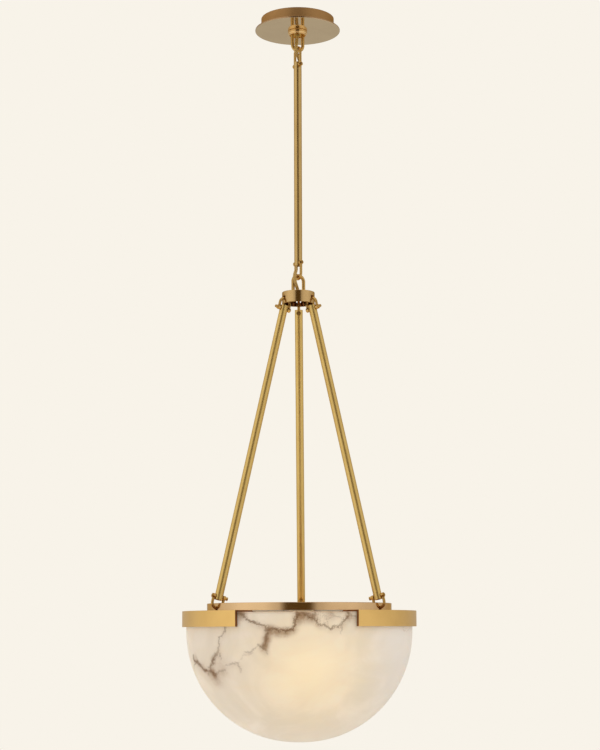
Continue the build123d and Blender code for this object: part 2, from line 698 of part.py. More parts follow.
lead_bore_bottom_z = lampholder_bottom_z + lampholder_bore_depth + lamp_contact_floor
lead_bore_depth = spider_top_z + thin_nut_height - lead_bore_bottom_z
for number, (azimuth, place) in enumerate(zip(lamp_azimuths, lamp_places), start=1):
    with BuildPart() as lampholder:
        with BuildSketch(Plane.XY.offset(lampholder_bottom_z)):
            with Locations(place):
                Circle(lampholder_diameter / 2)
        extrude(amount=lampholder_height)
        fillet(lampholder.faces().sort_by(Axis.Z)[0].edges(), lampholder_rim)
        with BuildSketch(Plane.XY.offset(lampholder_bottom_z)):
            with Locations(place):
                Circle(lampholder_bore / 2)
        extrude(amount=lampholder_bore_depth, mode=Mode.SUBTRACT)
        with BuildSketch(Plane.XY.offset(ring_bottom_z)):
            with Locations(place):
                Circle(lamp_stud_diameter / 2)
        extrude(amount=spider_thickness + thin_nut_height)
        with BuildSketch(Plane.XY.offset(spider_top_z + thin_nut_height)):
            with Locations(place):
                Circle(lamp_stud_bore / 2)
        extrude(amount=-lead_bore_depth, mode=Mode.SUBTRACT)
    save(lampholder.part, f"lampholder_{number}")
    bulb_plane = Plane(origin=place, x_dir=radial(azimuth), z_dir=radial(azimuth).cross(up))
    bulb_axis = Axis(place, (0, 0, 1))
    belly = (bulb_diameter / 2, lampholder_bottom_z - bulb_belly_drop)
    bulb_tip = (0, lampholder_bottom_z - bulb_glass_length)
    with BuildPart() as bulb_base:
        with BuildSketch(bulb_plane):
            with BuildLine():
                Polyline(
                    (0, lampholder_bottom_z),
                    (bulb_base_diameter / 2, lampholder_bottom_z),
                    (bulb_base_diameter / 2, bulb_tip_z - bulb_base_tip_height),
                    (bulb_base_tip / 2, bulb_tip_z),
                    (0, bulb_tip_z),
                    close=True,
                )
            make_face()
        revolve(axis=bulb_axis)
    save(bulb_base.part, f"bulb_base_{number}")
    with BuildPart() as bulb_glass:
        with BuildSketch(bulb_plane):
            with BuildLine():
                Line((0, lampholder_bottom_z), (bulb_neck_diameter / 2, lampholder_bottom_z))
                Spline((bulb_neck_diameter / 2, lampholder_bottom_z), belly, tangents=[(0, -1), (0, -1)])
                Spline(belly, bulb_tip, tangents=[(0, -1), (-1, -1)])
                Line(bulb_tip, (0, lampholder_bottom_z))
            make_face()
        revolve(axis=bulb_axis)
    save(bulb_glass.part, f"bulb_glass_{number}")
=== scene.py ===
import math

import bmesh
import bpy
import numpy as np
from mathutils import Matrix, Vector


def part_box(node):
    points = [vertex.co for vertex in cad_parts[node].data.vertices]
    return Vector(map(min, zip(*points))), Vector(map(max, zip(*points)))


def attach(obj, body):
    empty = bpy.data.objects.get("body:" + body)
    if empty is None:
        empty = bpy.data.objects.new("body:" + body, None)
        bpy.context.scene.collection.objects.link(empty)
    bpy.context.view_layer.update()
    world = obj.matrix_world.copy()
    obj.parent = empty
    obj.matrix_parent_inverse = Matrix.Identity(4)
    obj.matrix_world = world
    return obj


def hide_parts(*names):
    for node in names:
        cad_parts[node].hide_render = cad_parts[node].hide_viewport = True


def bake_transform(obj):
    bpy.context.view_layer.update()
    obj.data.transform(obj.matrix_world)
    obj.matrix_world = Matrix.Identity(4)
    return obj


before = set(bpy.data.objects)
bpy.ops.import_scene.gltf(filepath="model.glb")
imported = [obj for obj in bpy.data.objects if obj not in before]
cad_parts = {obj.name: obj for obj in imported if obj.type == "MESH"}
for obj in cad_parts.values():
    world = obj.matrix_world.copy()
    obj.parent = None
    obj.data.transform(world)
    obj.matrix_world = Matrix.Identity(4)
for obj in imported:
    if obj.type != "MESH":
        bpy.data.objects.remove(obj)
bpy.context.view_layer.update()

# Studio: a long lens looks slightly up at the lamp from the height of the bowl's rim. A cream backdrop,
# white scrims left and right and a dark camera bay in front give brass its light and dark stripes, and a
# pale floor lies well below the bowl.
frame_width = 600
frame_height = 750
focal_pixels = 1800
camera_distance = 2.605
camera_height = -0.9144
camera_azimuth = math.radians(1.3)
camera_pitch = math.radians(8.17)
camera_yaw = math.radians(-0.045)
camera_roll = math.radians(-0.18)

camera_data = bpy.data.cameras.new("camera")
camera_data.sensor_width = 36
camera_data.lens = camera_data.sensor_width * focal_pixels / frame_height
camera = bpy.data.objects.new("camera", camera_data)
camera.matrix_world = (
    Matrix.Translation((
        camera_distance * math.sin(camera_azimuth),
        -camera_distance * math.cos(camera_azimuth),
        camera_height,
    ))
    @ Matrix.Rotation(camera_azimuth + camera_yaw, 4, "Z")
    @ Matrix.Rotation(math.pi / 2 + camera_pitch, 4, "X")
    @ Matrix.Rotation(camera_roll, 4, "Z")
)
scene = bpy.context.scene
scene.collection.objects.link(camera)
scene.camera = camera
scene.view_settings.view_transform = "Standard"


def colour(red, green, blue):
    """Linear colour with full alpha from three sRGB values of 0 to 255."""
    encoded = np.array([red, green, blue]) / 255
    linear = np.where(encoded <= 0.04045, encoded / 12.92, ((encoded + 0.055) / 1.055) ** 2.4)
    return (*linear.tolist(), 1.0)


def grey(level):
    """Neutral linear colour."""
    return (level, level, level, 1.0)


def add_node(tree, kind, inputs=None, **settings):
    """New node with its settings and input values; a socket given as a value is linked."""
    node = tree.nodes.new(kind)
    for name, value in settings.items():
        setattr(node, name, value)
    for name, value in (inputs or {}).items():
        if isinstance(value, bpy.types.NodeSocket):
            tree.links.new(value, node.inputs[name])
        else:
            node.inputs[name].default_value = value
    return node


def add_math(tree, operation, *values, clamp=False):
    """Output of a Math node with the given values or sockets."""
    node = add_node(tree, "ShaderNodeMath", dict(enumerate(values)), operation=operation, use_clamp=clamp)
    return node.outputs[0]


def add_vector(tree, operation, *values):
    """Output of a Vector Math node with the given values or sockets."""
    node = add_node(tree, "ShaderNodeVectorMath", dict(enumerate(values)), operation=operation)
    return node.outputs["Value" if operation in ("LENGTH", "DOT_PRODUCT") else "Vector"]


def add_mix(tree, share, first, second, blend="MIX"):
    """Colour output of a Mix node: first where share is 0, second where it is 1."""
    factor_in, first_in, second_in, colour_out = 0, 6, 7, 2
    node = add_node(
        tree, "ShaderNodeMix", {factor_in: share, first_in: first, second_in: second},
        data_type="RGBA", blend_type=blend,
    )
    return node.outputs[colour_out]


def add_step(tree, value, low, high, low_result=0.0, high_result=1.0):
    """Smooth step: low_result below low, high_result above high."""
    limits = {"Value": value, "From Min": low, "From Max": high, "To Min": low_result, "To Max": high_result}
    return add_node(tree, "ShaderNodeMapRange", limits, interpolation_type="SMOOTHSTEP").outputs["Result"]


def add_ramp(tree, value, stops):
    """Output colour of a ramp that eases through (position, colour) stops in rising order."""
    node = add_node(tree, "ShaderNodeValToRGB", {"Fac": value})
    ramp = node.color_ramp
    ramp.interpolation = "EASE"
    ramp.elements.remove(ramp.elements[1])
    ramp.elements[0].position, ramp.elements[0].color = stops[0]
    for place, shade in stops[1:]:
        ramp.elements.new(place).color = shade
    return node.outputs["Color"]


def add_split(tree, vector):
    """Outputs X, Y and Z of a vector."""
    return add_node(tree, "ShaderNodeSeparateXYZ", {0: vector}).outputs


def add_noise(tree, place, scale, detail=2.0, roughness=0.5, distortion=0.0, output="Fac"):
    """Output of a Noise Texture over the given place."""
    values = {
        "Vector": place, "Scale": scale, "Detail": detail, "Roughness": roughness, "Distortion": distortion,
    }
    return add_node(tree, "ShaderNodeTexNoise", values).outputs[output]


# Scrims round the lamp: bearing from the camera's side in degrees, positive to the right, and brightness.
scrims = (
    (-180, 0.48), (-140, 0.54), (-105, 0.74), (-70, 0.95), (-45, 0.90), (-24, 0.64), (-19, 0.24), (-15, 0.0),
    (15, 0.0), (19, 0.22), (24, 0.54), (45, 0.76), (70, 0.80), (95, 0.66), (120, 0.54), (145, 0.48),
    (180, 0.48),
)
bay_brown = (0.10, 0.065, 0.022, 1.0)
ceiling_light = 1.0
ceiling_from, ceiling_full = 0.70, 0.92
matt_level = (1.26, 1.245, 1.245, 1.0)
backdrop_colour = colour(248, 243, 233)

world = bpy.data.worlds.new("studio")
scene.world = world
world.use_nodes = True
tree = world.node_tree
tree.nodes.clear()
direction = add_node(tree, "ShaderNodeTexCoord").outputs["Generated"]
parts = add_split(tree, direction)
front = add_math(tree, "MULTIPLY", parts["Y"], -1.0)
bearing = add_math(tree, "ARCTAN2", parts["X"], front)
turn = add_math(tree, "MULTIPLY_ADD", bearing, 0.5 / math.pi, 0.5)
scrim_level = add_ramp(tree, turn, [(0.5 + angle / 360, grey(light)) for angle, light in scrims])
scrim_light = add_mix(tree, scrim_level, bay_brown, grey(1.0))
overhead = add_step(tree, parts["Z"], ceiling_from, ceiling_full)
studio_light = add_mix(tree, overhead, scrim_light, grey(ceiling_light))
path = add_node(tree, "ShaderNodeLightPath")
tinted_light = add_mix(tree, 1.0, studio_light, backdrop_colour, "MULTIPLY")
matt_light = add_mix(tree, 1.0, studio_light, matt_level, "MULTIPLY")
metal_light = add_mix(tree, path.outputs["Is Glossy Ray"], matt_light, tinted_light)
sees_backdrop = add_math(tree, "MAXIMUM", path.outputs["Is Camera Ray"], path.outputs["Is Transmission Ray"])
seen_light = add_mix(tree, sees_backdrop, metal_light, backdrop_colour)
background = add_node(tree, "ShaderNodeBackground", {"Color": seen_light, "Strength": 1.0})
add_node(tree, "ShaderNodeOutputWorld", {"Surface": background.outputs["Background"]})

key_size = 2.4
key_power = 17.0
key_place = Vector((1.9, -1.9, 1.1))
key_target = Vector((0.0, 0.0, -0.9))
key_colour = (0.86, 0.96, 1.0)
key_data = bpy.data.lights.new("key_scrim", "AREA")
key_data.shape = "SQUARE"
key_data.size = key_size
key_data.energy = key_power
key_data.color = key_colour
key = bpy.data.objects.new("key_scrim", key_data)
key.location = key_place
key.rotation_euler = (key_target - key_place).to_track_quat("-Z", "Y").to_euler()
key.visible_glossy = False
scene.collection.objects.link(key)


def inside(material):
    """Node tree of a material, its Principled shader and its Object coordinates."""
    tree = material.node_tree
    return tree, tree.nodes["Principled BSDF"], add_node(tree, "ShaderNodeTexCoord").outputs["Object"]


def new_material(name):
    """Material with a Principled shader: gives it and what is inside it."""
    material = bpy.data.materials.new(name)
    material.use_nodes = True
    return material, *inside(material)


def clouded(name, scale, first, second, gloss_spread, gloss, roughness=0.5, settings=None):
    """Material that drifts from the first colour to the second with a noise of the given scale. Its roughness
    is gloss plus the noise times gloss_spread, and settings gives other inputs of its shader."""
    material, tree, shader, place = new_material(name)
    cloud = add_noise(tree, place, scale, detail=3.0, roughness=roughness)
    tree.links.new(add_mix(tree, cloud, first, second), shader.inputs["Base Color"])
    tree.links.new(add_math(tree, "MULTIPLY_ADD", cloud, gloss_spread, gloss), shader.inputs["Roughness"])
    for socket, value in (settings or {}).items():
        shader.inputs[socket].default_value = value
    return material


def wrapped(name, points):
    """Smooth mesh of a grid of points, row by row, that closes round each row. Faces look outward where the
    points of a row run counterclockwise about the way that the rows go, as on a turned piece whose profile
    runs from the bottom up its outside."""
    rows, sides = points.shape[:2]
    row, side = np.meshgrid(np.arange(rows - 1), np.arange(sides), indexing="ij")
    here = row * sides + side
    beside = row * sides + (side + 1) % sides
    quads = np.stack([here, beside, beside + sides, here + sides], axis=-1)
    mesh = bpy.data.meshes.new(name)
    mesh.from_pydata(points.reshape(-1, 3), [], quads.reshape(-1, 4))
    mesh.polygons.foreach_set("use_smooth", np.ones(len(mesh.polygons), bool))
    piece = bpy.data.objects.new(name, mesh)
    scene.collection.objects.link(piece)
    return piece


def revolved(profile, sides):
    """Points of a surface of revolution, row by row: each profile point (radius, height) goes round the
    upright axis at equal angles."""
    angles = 2 * np.pi * np.arange(sides) / sides
    radius, height = np.asarray(profile, float).T
    points = np.empty((len(radius), sides, 3))
    points[:, :, 0] = radius[:, None] * np.cos(angles)
    points[:, :, 1] = radius[:, None] * np.sin(angles)
    points[:, :, 2] = height[:, None]
    return points


def weld(piece, distance=1e-7):
    """Joins the points of a mesh that lie on each other, such as those at its poles."""
    shape = bmesh.new()
    shape.from_mesh(piece.data)
    bmesh.ops.remove_doubles(shape, verts=shape.verts, dist=distance)
    shape.to_mesh(piece.data)
    shape.free()


floor_height = -1.9
floor_radius = 2.4
floor_rows = 24
floor_sides = 96
floor_span = np.linspace(floor_radius, 0.0, floor_rows)
floor_profile = np.stack([floor_span, np.full(floor_rows, floor_height)], axis=1)
floor = wrapped("floor", revolved(floor_profile, floor_sides))
weld(floor)
floor.data.materials.append(
    clouded("floor_paint", 1.5, colour(240, 236, 228), colour(246, 242, 234), 0.0, 0.8)
)


# Ceiling fitting: a strap of zinc plated steel that is screwed to the outlet box, with a threaded nipple and
# its locknut in the middle. The green ground screw is tapped into the strap.
def dress(material, *names):
    """Gives the named CAD nodes one material."""
    for name in names:
        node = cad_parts[name]
        node.data.materials.clear()
        node.data.materials.append(material)


spangle_share = 0.35
spangle_gloss = 0.18
dull_spangle = 0.82
warm_spangle = 0.96


def plated_steel(name, tone, roughness):
    """Zinc plate: metal with soft spangles of differing tone and gloss."""
    material, tree, shader, place = new_material(name)
    spangle = add_node(tree, "ShaderNodeTexVoronoi", {"Vector": place, "Scale": 340.0}).outputs["Color"]
    level = add_node(tree, "ShaderNodeSeparateColor", {"Color": spangle}).outputs["Red"]
    cloud = add_noise(tree, place, 55.0, detail=4.0)
    cloud_share = add_math(tree, "MULTIPLY", cloud, 1 - spangle_share)
    blend = add_math(tree, "MULTIPLY_ADD", level, spangle_share, cloud_share)
    shade = add_mix(tree, blend, grey(tone * dull_spangle), (tone, tone, tone * warm_spangle, 1.0))
    tree.links.new(shade, shader.inputs["Base Color"])
    gloss = add_math(tree, "MULTIPLY_ADD", blend, spangle_gloss, roughness - spangle_gloss / 2)
    tree.links.new(gloss, shader.inputs["Roughness"])
    shader.inputs["Metallic"].default_value = 1.0
    bump = add_node(tree, "ShaderNodeBump", {"Height": cloud, "Strength": 0.15, "Distance": 0.0002})
    tree.links.new(bump.outputs["Normal"], shader.inputs["Normal"])
    return material


zinc = plated_steel("zinc_plate", 0.66, 0.34)
dress(zinc, "ceiling_crossbar", "crossbar_nipple", "nipple_locknut")

ground_paint = clouded(
    "ground_screw_green", 600.0, colour(24, 92, 44), colour(44, 128, 66), 0.2, 0.28,
    settings={"Metallic": 0.6},
)
dress(ground_paint, "ground_screw")


# Canopy: a spun brass cup with a wider turned disc under it, and a collar that screws up against the disc
# around the bent wire loop. All brass is rubbed: polished, browned, and rubbed back by hand.
def new_group(name, inputs, outputs):
    """Shader node group with the named sockets: gives the group and the outputs of its input node."""
    group = bpy.data.node_groups.new(name, "ShaderNodeTree")
    for socket, kind in inputs:
        group.interface.new_socket(socket, in_out="INPUT", socket_type=kind)
    for socket, kind in outputs:
        group.interface.new_socket(socket, in_out="OUTPUT", socket_type=kind)
    return group, add_node(group, "NodeGroupInput").outputs


rubbed_finish, given = new_group(
    "rubbed_finish",
    (
        ("Place", "NodeSocketVector"), ("Grain Place", "NodeSocketVector"), ("Bright", "NodeSocketColor"),
        ("Browned", "NodeSocketColor"), ("Browning", "NodeSocketFloat"), ("Roughness", "NodeSocketFloat"),
        ("Grain", "NodeSocketFloat"),
    ),
    (("Color", "NodeSocketColor"), ("Roughness", "NodeSocketFloat"), ("Height", "NodeSocketFloat")),
)
speck_share = 0.06
browned_from, browned_full = 0.34, 0.70
cloud = add_noise(rubbed_finish, given["Place"], 26.0, detail=4.0, roughness=0.55, distortion=0.4)
specks = add_noise(rubbed_finish, given["Place"], 430.0, detail=2.0)
lines = add_noise(rubbed_finish, given["Grain Place"], 1.0, detail=3.0, roughness=0.6)
cloud = add_math(rubbed_finish, "MULTIPLY", cloud, 1 - speck_share)
mottle = add_math(rubbed_finish, "MULTIPLY_ADD", specks, speck_share, cloud)
browned = add_step(rubbed_finish, mottle, browned_from, browned_full)
browned = add_math(rubbed_finish, "MULTIPLY", browned, given["Browning"])
lines = add_math(rubbed_finish, "SUBTRACT", lines, 0.5)
line_depth = add_math(rubbed_finish, "MULTIPLY", lines, given["Grain"])
cloud_depth = add_math(rubbed_finish, "SUBTRACT", mottle, 0.5)
cloud_gloss = add_math(rubbed_finish, "MULTIPLY_ADD", cloud_depth, 0.05, given["Roughness"])
line_gloss = add_math(rubbed_finish, "MULTIPLY_ADD", line_depth, 0.08, cloud_gloss)
lined_share = add_math(rubbed_finish, "MULTIPLY_ADD", line_depth, 0.2, browned, clamp=True)
add_node(rubbed_finish, "NodeGroupOutput", {
    "Color": add_mix(rubbed_finish, lined_share, given["Bright"], given["Browned"]),
    "Roughness": add_math(rubbed_finish, "MULTIPLY_ADD", browned, 0.05, line_gloss, clamp=True),
    "Height": line_depth,
})

line_pitch = 1400.0
line_stretch = 4.0
lathe_grain = 0.4
browning = 0.4
gold_edge = colour(240, 214, 166)
dull_edge = colour(214, 186, 142)
white_edge = grey(1.0)


def axis_distance(tree, place):
    """Distance from the lamp's upright axis."""
    return add_vector(tree, "LENGTH", add_vector(tree, "MULTIPLY", place, (1.0, 1.0, 0.0)))


def turned_lines(tree, place):
    """Lathe lines: fine along the radius and the height, drawn out round the axis."""
    parts = add_split(tree, place)
    radius = add_math(tree, "MULTIPLY", axis_distance(tree, place), line_pitch)
    angle = add_math(tree, "MULTIPLY", add_math(tree, "ARCTAN2", parts["Y"], parts["X"]), line_stretch)
    height = add_math(tree, "MULTIPLY", parts["Z"], line_pitch)
    return add_node(tree, "ShaderNodeCombineXYZ", {0: radius, 1: angle, 2: height}).outputs[0]


def rubbed_brass(name, bright, browned, roughness, edge, grain=0.0):
    """Rubbed brass between a bright and a browned colour, with the given gloss, tint of its glancing
    reflections and depth of its lathe lines, which only turned pieces have."""
    material, tree, shader, place = new_material(name)
    finish = add_node(tree, "ShaderNodeGroup", node_tree=rubbed_finish)
    finish.inputs["Bright"].default_value = bright
    finish.inputs["Browned"].default_value = browned
    finish.inputs["Browning"].default_value = browning
    finish.inputs["Roughness"].default_value = roughness
    finish.inputs["Grain"].default_value = grain
    tree.links.new(place, finish.inputs["Place"])
    tree.links.new(turned_lines(tree, place), finish.inputs["Grain Place"])
    tree.links.new(finish.outputs["Color"], shader.inputs["Base Color"])
    tree.links.new(finish.outputs["Roughness"], shader.inputs["Roughness"])
    bump = add_node(
        tree, "ShaderNodeBump", {"Height": finish.outputs["Height"], "Strength": 0.02, "Distance": 0.00003}
    )
    tree.links.new(bump.outputs["Normal"], shader.inputs["Normal"])
    shader.inputs["Metallic"].default_value = 1.0
    shader.inputs["Specular Tint"].default_value = edge
    return material


def paint_dark_brown(material, outside):
    """Mixes dark brown into a brass piece where outside gives 0 and keeps its colour where it gives 1;
    outside is worked out from the node tree and the place on the piece. On hub, ring and clasps it is painted
    shade."""
    tree, shader, place = inside(material)
    rubbed = shader.inputs["Base Color"].links[0].from_socket
    tree.links.new(add_mix(tree, outside(tree, place), dark_brown, rubbed), shader.inputs["Base Color"])


dark_brown = colour(150, 98, 56)
disc_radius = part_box("canopy_disc")[1].x
disc_edge = 0.0006
disc_edge_share = 0.35


def disc_outside(tree, place):
    """1 on the disc's faces, less on its edge."""
    radius = axis_distance(tree, place)
    return add_step(tree, radius, disc_radius - disc_edge, disc_radius, 1.0, disc_edge_share)


cup_brass = rubbed_brass(
    "cup_brass", colour(182, 142, 94), colour(162, 122, 76), 0.54, gold_edge, grain=lathe_grain
)
disc_brass = rubbed_brass(
    "disc_brass", colour(226, 205, 168), colour(210, 189, 152), 0.08, white_edge, grain=lathe_grain
)
collar_brass = rubbed_brass(
    "collar_brass", colour(242, 208, 152), colour(226, 190, 132), 0.1, white_edge, grain=lathe_grain
)
wire_brass = rubbed_brass("wire_brass", colour(214, 176, 108), colour(196, 158, 92), 0.32, gold_edge)
# The disc turns darker brown on its edge.
paint_dark_brown(disc_brass, disc_outside)
dress(cup_brass, "canopy_cup")
dress(disc_brass, "canopy_disc")
dress(collar_brass, "canopy_collar")
dress(wire_brass, "canopy_loop")


# Stem: a drawn brass tube with a U shackle of brass wire at each end. A turned pin across the tube holds
# each shackle, left browner than the wire.
stem_brass = rubbed_brass("stem_brass", colour(210, 178, 118), colour(193, 160, 101), 0.27, gold_edge)
browned_pin = rubbed_brass("browned_pin", colour(158, 122, 72), colour(138, 102, 56), 0.3, gold_edge)
dress(stem_brass, "stem_tube")
dress(wire_brass, "top_shackle", "bottom_shackle")
dress(browned_pin, "top_shackle_pin", "bottom_shackle_pin")


# Supply lead: a flat twin flex in a gold-brown sheath that comes down through the collar, passes the links
# beside their wires and runs on inside the stem to the hub. It shows where it passes the two links.
core_diameter = 0.0027
core_spacing = 0.0025
arc_sides = 11
link_bearing = math.radians(30)
across_pin = np.array([math.cos(link_bearing), math.sin(link_bearing), 0.0])
along_pin = np.array([math.sin(link_bearing), -math.cos(link_bearing), 0.0])
upward = np.array([0.0, 0.0, 1.0])

# Routes past the links: across the pin, along the pin and height, in millimetres.
top_route = (
    (0, 0, -19), (-0.4, 0, -26), (-2, 0.9, -32), (-3.6, 3.4, -37.5), (-5.2, 5.4, -42.5), (-6.2, 5.8, -48),
    (-5, 5.2, -53), (-2.2, 3.4, -57), (1.6, 1.2, -61), (2.9, 0, -66.5), (2.88, 0, -74), (2.88, 0, -83),
    (2.88, 0, -92),
)
bottom_route = (
    (-2.88, 0, -352), (-2.88, 0, -360), (-2.88, 0, -369), (-2.85, 0, -379.5), (-3.8, 0.8, -384),
    (-7, 4, -388.5), (-9.4, 5.4, -394), (-9, 5.6, -401), (-6.8, 5, -407), (-3.2, 2.6, -412),
    (-0.6, 0.2, -417), (0, 0, -421),
)


def route_line(route):
    """Points of the smooth line along a route, read from its spline."""
    curve = bpy.data.curves.new("lead_route", "CURVE")
    curve.dimensions = "3D"
    spline = curve.splines.new("NURBS")
    spline.points.add(len(route) - 1)
    for point, (across, along, height) in zip(spline.points, route):
        place = (across * across_pin + along * along_pin + height * upward) / 1000
        point.co = (*place.tolist(), 1.0)
    spline.order_u = 3
    spline.use_endpoint_u = True
    guide = bpy.data.objects.new("lead_route", curve)
    mesh = bpy.data.meshes.new_from_object(guide)
    line = np.array([vertex.co for vertex in mesh.vertices])
    bpy.data.objects.remove(guide)
    bpy.data.curves.remove(curve)
    bpy.data.meshes.remove(mesh)
    return line


def twin_outline():
    """Section of the twin flex: two round cores side by side whose circles meet in a groove, as points
    (across, through) in counterclockwise order."""
    meet = math.acos(-core_spacing / core_diameter)
    sweep = np.linspace(-meet, meet, arc_sides)
    across = core_spacing / 2 + core_diameter / 2 * np.cos(sweep)
    right = np.stack([across, core_diameter / 2 * np.sin(sweep)], axis=1)
    return np.concatenate([right[:-1], -right[:-1]])


def flex(name, line, outline, crossed, pinned):
    """Flex along a line: its section square to the run at each point, with its width across the pin up to the
    height crossed, turned smoothly to lie along the pin from the height pinned on, and closed ends."""
    run = np.gradient(line, axis=0)
    run /= np.linalg.norm(run, axis=1)[:, None]
    share = np.clip((line[:, 2] - crossed) / (pinned - crossed), 0, 1)
    turn = (share * share * (3 - 2 * share) * np.pi / 2)[:, None]
    wide = np.cos(turn) * across_pin + np.sin(turn) * along_pin
    wide -= run * (wide * run).sum(1)[:, None]
    wide /= np.linalg.norm(wide, axis=1)[:, None]
    thin = np.cross(run, wide)
    rings = line[:, None] + outline[:, :1] * wide[:, None] + outline[:, 1:] * thin[:, None]
    ends = [np.tile(point, (len(outline), 1)) for point in (line[0], line[-1])]
    piece = wrapped(name, np.concatenate([ends[:1], rings, ends[1:]]))
    weld(piece)
    return piece


lead_sheath = clouded("lead_sheath", 240.0, colour(174, 138, 70), colour(196, 160, 90), 0.15, 0.3)

# At each link: the route, the height where its two halves part, the heights where the flex lies across the
# pin and along it, and for each half its name, its bodies and the heights between which it bends.
lead_links = (
    (top_route, -0.054, -0.0540, -0.0660, (
        ("lead_canopy", ("canopy", "top_link"), (-0.030, -0.050)),
        ("lead_stem_top", ("top_link", "stem"), (-0.056, -0.066)),
    )),
    (bottom_route, -0.386, -0.3910, -0.3805, (
        ("lead_stem_bottom", ("stem", "bottom_link"), (-0.374, -0.384)),
        ("lead_hub", ("bottom_link", "hub"), (-0.388, -0.410)),
    )),
)
for route, link_middle, crossed, pinned, halves in lead_links:
    whole = route_line(route)
    parting = int(np.abs(whole[:, 2] - link_middle).argmin())
    for (name, bodies, heights), line in zip(halves, (whole[:parting + 1], whole[parting:])):
        lead = flex(name, line, twin_outline(), crossed, pinned)
        lead.data.materials.append(lead_sheath)
        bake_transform(lead)


# Hub: a shallow turned cup, open below, hung on a bent bolt with two nuts. Three shackles pass through holes
# in its wall, each closed by a turned pin with a tapered knob.
hub_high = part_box("hub_cup")[1]
hub_wall = 0.003
hub_top = 0.003
hub_inside = hub_high.x - hub_wall
hub_fade = 0.001


def hub_outside(tree, place):
    """1 on the hub's wall and top, 0 on its inside."""
    on_wall = add_step(tree, axis_distance(tree, place), hub_inside, hub_inside + hub_fade)
    on_top = add_step(tree, add_split(tree, place)["Z"], hub_high.z - hub_top, hub_high.z - hub_top / 2)
    return add_math(tree, "MAXIMUM", on_wall, on_top)


hub_brass = rubbed_brass(
    "hub_brass", colour(218, 184, 130), colour(198, 162, 108), 0.15, dull_edge, grain=lathe_grain
)
pin_brass = rubbed_brass("pin_brass", colour(200, 162, 98), colour(182, 144, 82), 0.3, gold_edge)
# Painted shade: the hub's inside, its hollow, is painted dark brown.
paint_dark_brown(hub_brass, hub_outside)
dress(hub_brass, "hub_cup")
dress(wire_brass, "hub_loop", "upper_shackle_right", "upper_shackle_back", "upper_shackle_left")
dress(zinc, "hub_loop_nuts")
dress(pin_brass, "upper_pin_right", "upper_pin_back", "upper_pin_left")


# Rods: three drawn brass tubes that spread from the hub to the ring. Each hangs on the pin of its upper
# shackle and has a shackle and a pin at its lower end.
rod_brass = rubbed_brass("rod_brass", colour(231, 199, 126), colour(213, 180, 108), 0.35, gold_edge)
for side in ("right", "back", "left"):
    dress(rod_brass, f"rod_{side}")
    dress(wire_brass, f"lower_shackle_{side}")
    dress(pin_brass, f"lower_pin_{side}")


# Carrier ring: a turned brass band that hangs in the three lower shackles and carries clasps and spider.
# Away from its outer face, on its inner face and the inner part of its top and bottom, it is painted dark
# brown as shade.
ring_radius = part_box("carrier_ring")[1].x
ring_full_shade_depth, ring_no_shade_depth = 0.0025, 0.0012


def ring_outside(tree, place):
    """1 on the ring's outer face, 0 further in."""
    return add_step(
        tree, axis_distance(tree, place), ring_radius - ring_full_shade_depth, ring_radius - ring_no_shade_depth
    )


ring_brass = rubbed_brass(
    "ring_brass", colour(236, 200, 154), colour(218, 178, 130), 0.13, gold_edge, grain=lathe_grain
)
# Painted shade: dark brown away from the ring's outer face.
paint_dark_brown(ring_brass, ring_outside)
dress(ring_brass, "carrier_ring")


# Clasps: three brass bands bent over the rim of the bowl and fixed under the ring, with a thin liner of
# pressed fibre between brass and stone.
flange_radius, band_radius = 0.156, 0.161
cut_facing, face_facing = 0.3, 0.7


def clasp_outside(tree, place):
    """1 on the clasp's band, 0 on its flange under the ring and on the cut ends of the band, whose faces
    look neither outward nor up."""
    on_band = add_step(tree, axis_distance(tree, place), flange_radius, band_radius)
    facing = add_node(tree, "ShaderNodeTexCoord").outputs["Normal"]
    outward = add_vector(tree, "NORMALIZE", add_vector(tree, "MULTIPLY", place, (1.0, 1.0, 0.0)))
    sideways = add_math(tree, "ABSOLUTE", add_vector(tree, "DOT_PRODUCT", facing, outward))
    upright = add_math(tree, "ABSOLUTE", add_split(tree, facing)["Z"])
    on_face = add_step(tree, add_math(tree, "MAXIMUM", sideways, upright), cut_facing, face_facing)
    return add_math(tree, "MULTIPLY", on_band, on_face)


clasp_brass = rubbed_brass(
    "clasp_brass", colour(244, 204, 130), colour(228, 186, 114), 0.3, white_edge, grain=lathe_grain
)
# Painted shade: the flange under the ring and the cut ends of each band are painted dark brown.
paint_dark_brown(clasp_brass, clasp_outside)
dress(clasp_brass, "clasp_right", "clasp_back", "clasp_left")

liner_fibre = clouded(
    "liner_fibre", 900.0, colour(96, 80, 64), colour(140, 122, 100), 0.15, 0.78, roughness=0.7
)
dress(liner_fibre, "clasp_liner_right", "clasp_liner_back", "clasp_liner_left", "bowl_pads")


# Bowl: turned from one block of veined alabaster with a wall of 12 mm, rubbed smooth outside and in. Brown
# mineral veins with smoky borders cross its front, and the lamps inside shine warm through the stone.
bowl_low, bowl_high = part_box("alabaster_bowl")
bowl_radius = bowl_high.x
bowl_wall = 0.012
bowl_flat = 0.0047
bowl_rim_edge = 0.001
edge_height = bowl_high.z - bowl_rim_edge
bowl_corner = bowl_radius - bowl_flat
bowl_arc_height = bowl_low.z + bowl_corner
bowl_sides = 480
outer_arc_rows = 132
outer_wall_rows = 14
rim_rows = 4
inner_wall_rows = 7
inner_arc_rows = 36


def bowl_arc(radius, rows):
    """Quarter circle of the bowl's section: from the flat at the bottom out to the upright wall."""
    sweep = np.linspace(0, np.pi / 2, rows)
    return np.stack([bowl_flat + radius * np.sin(sweep), bowl_arc_height - radius * np.cos(sweep)], axis=1)


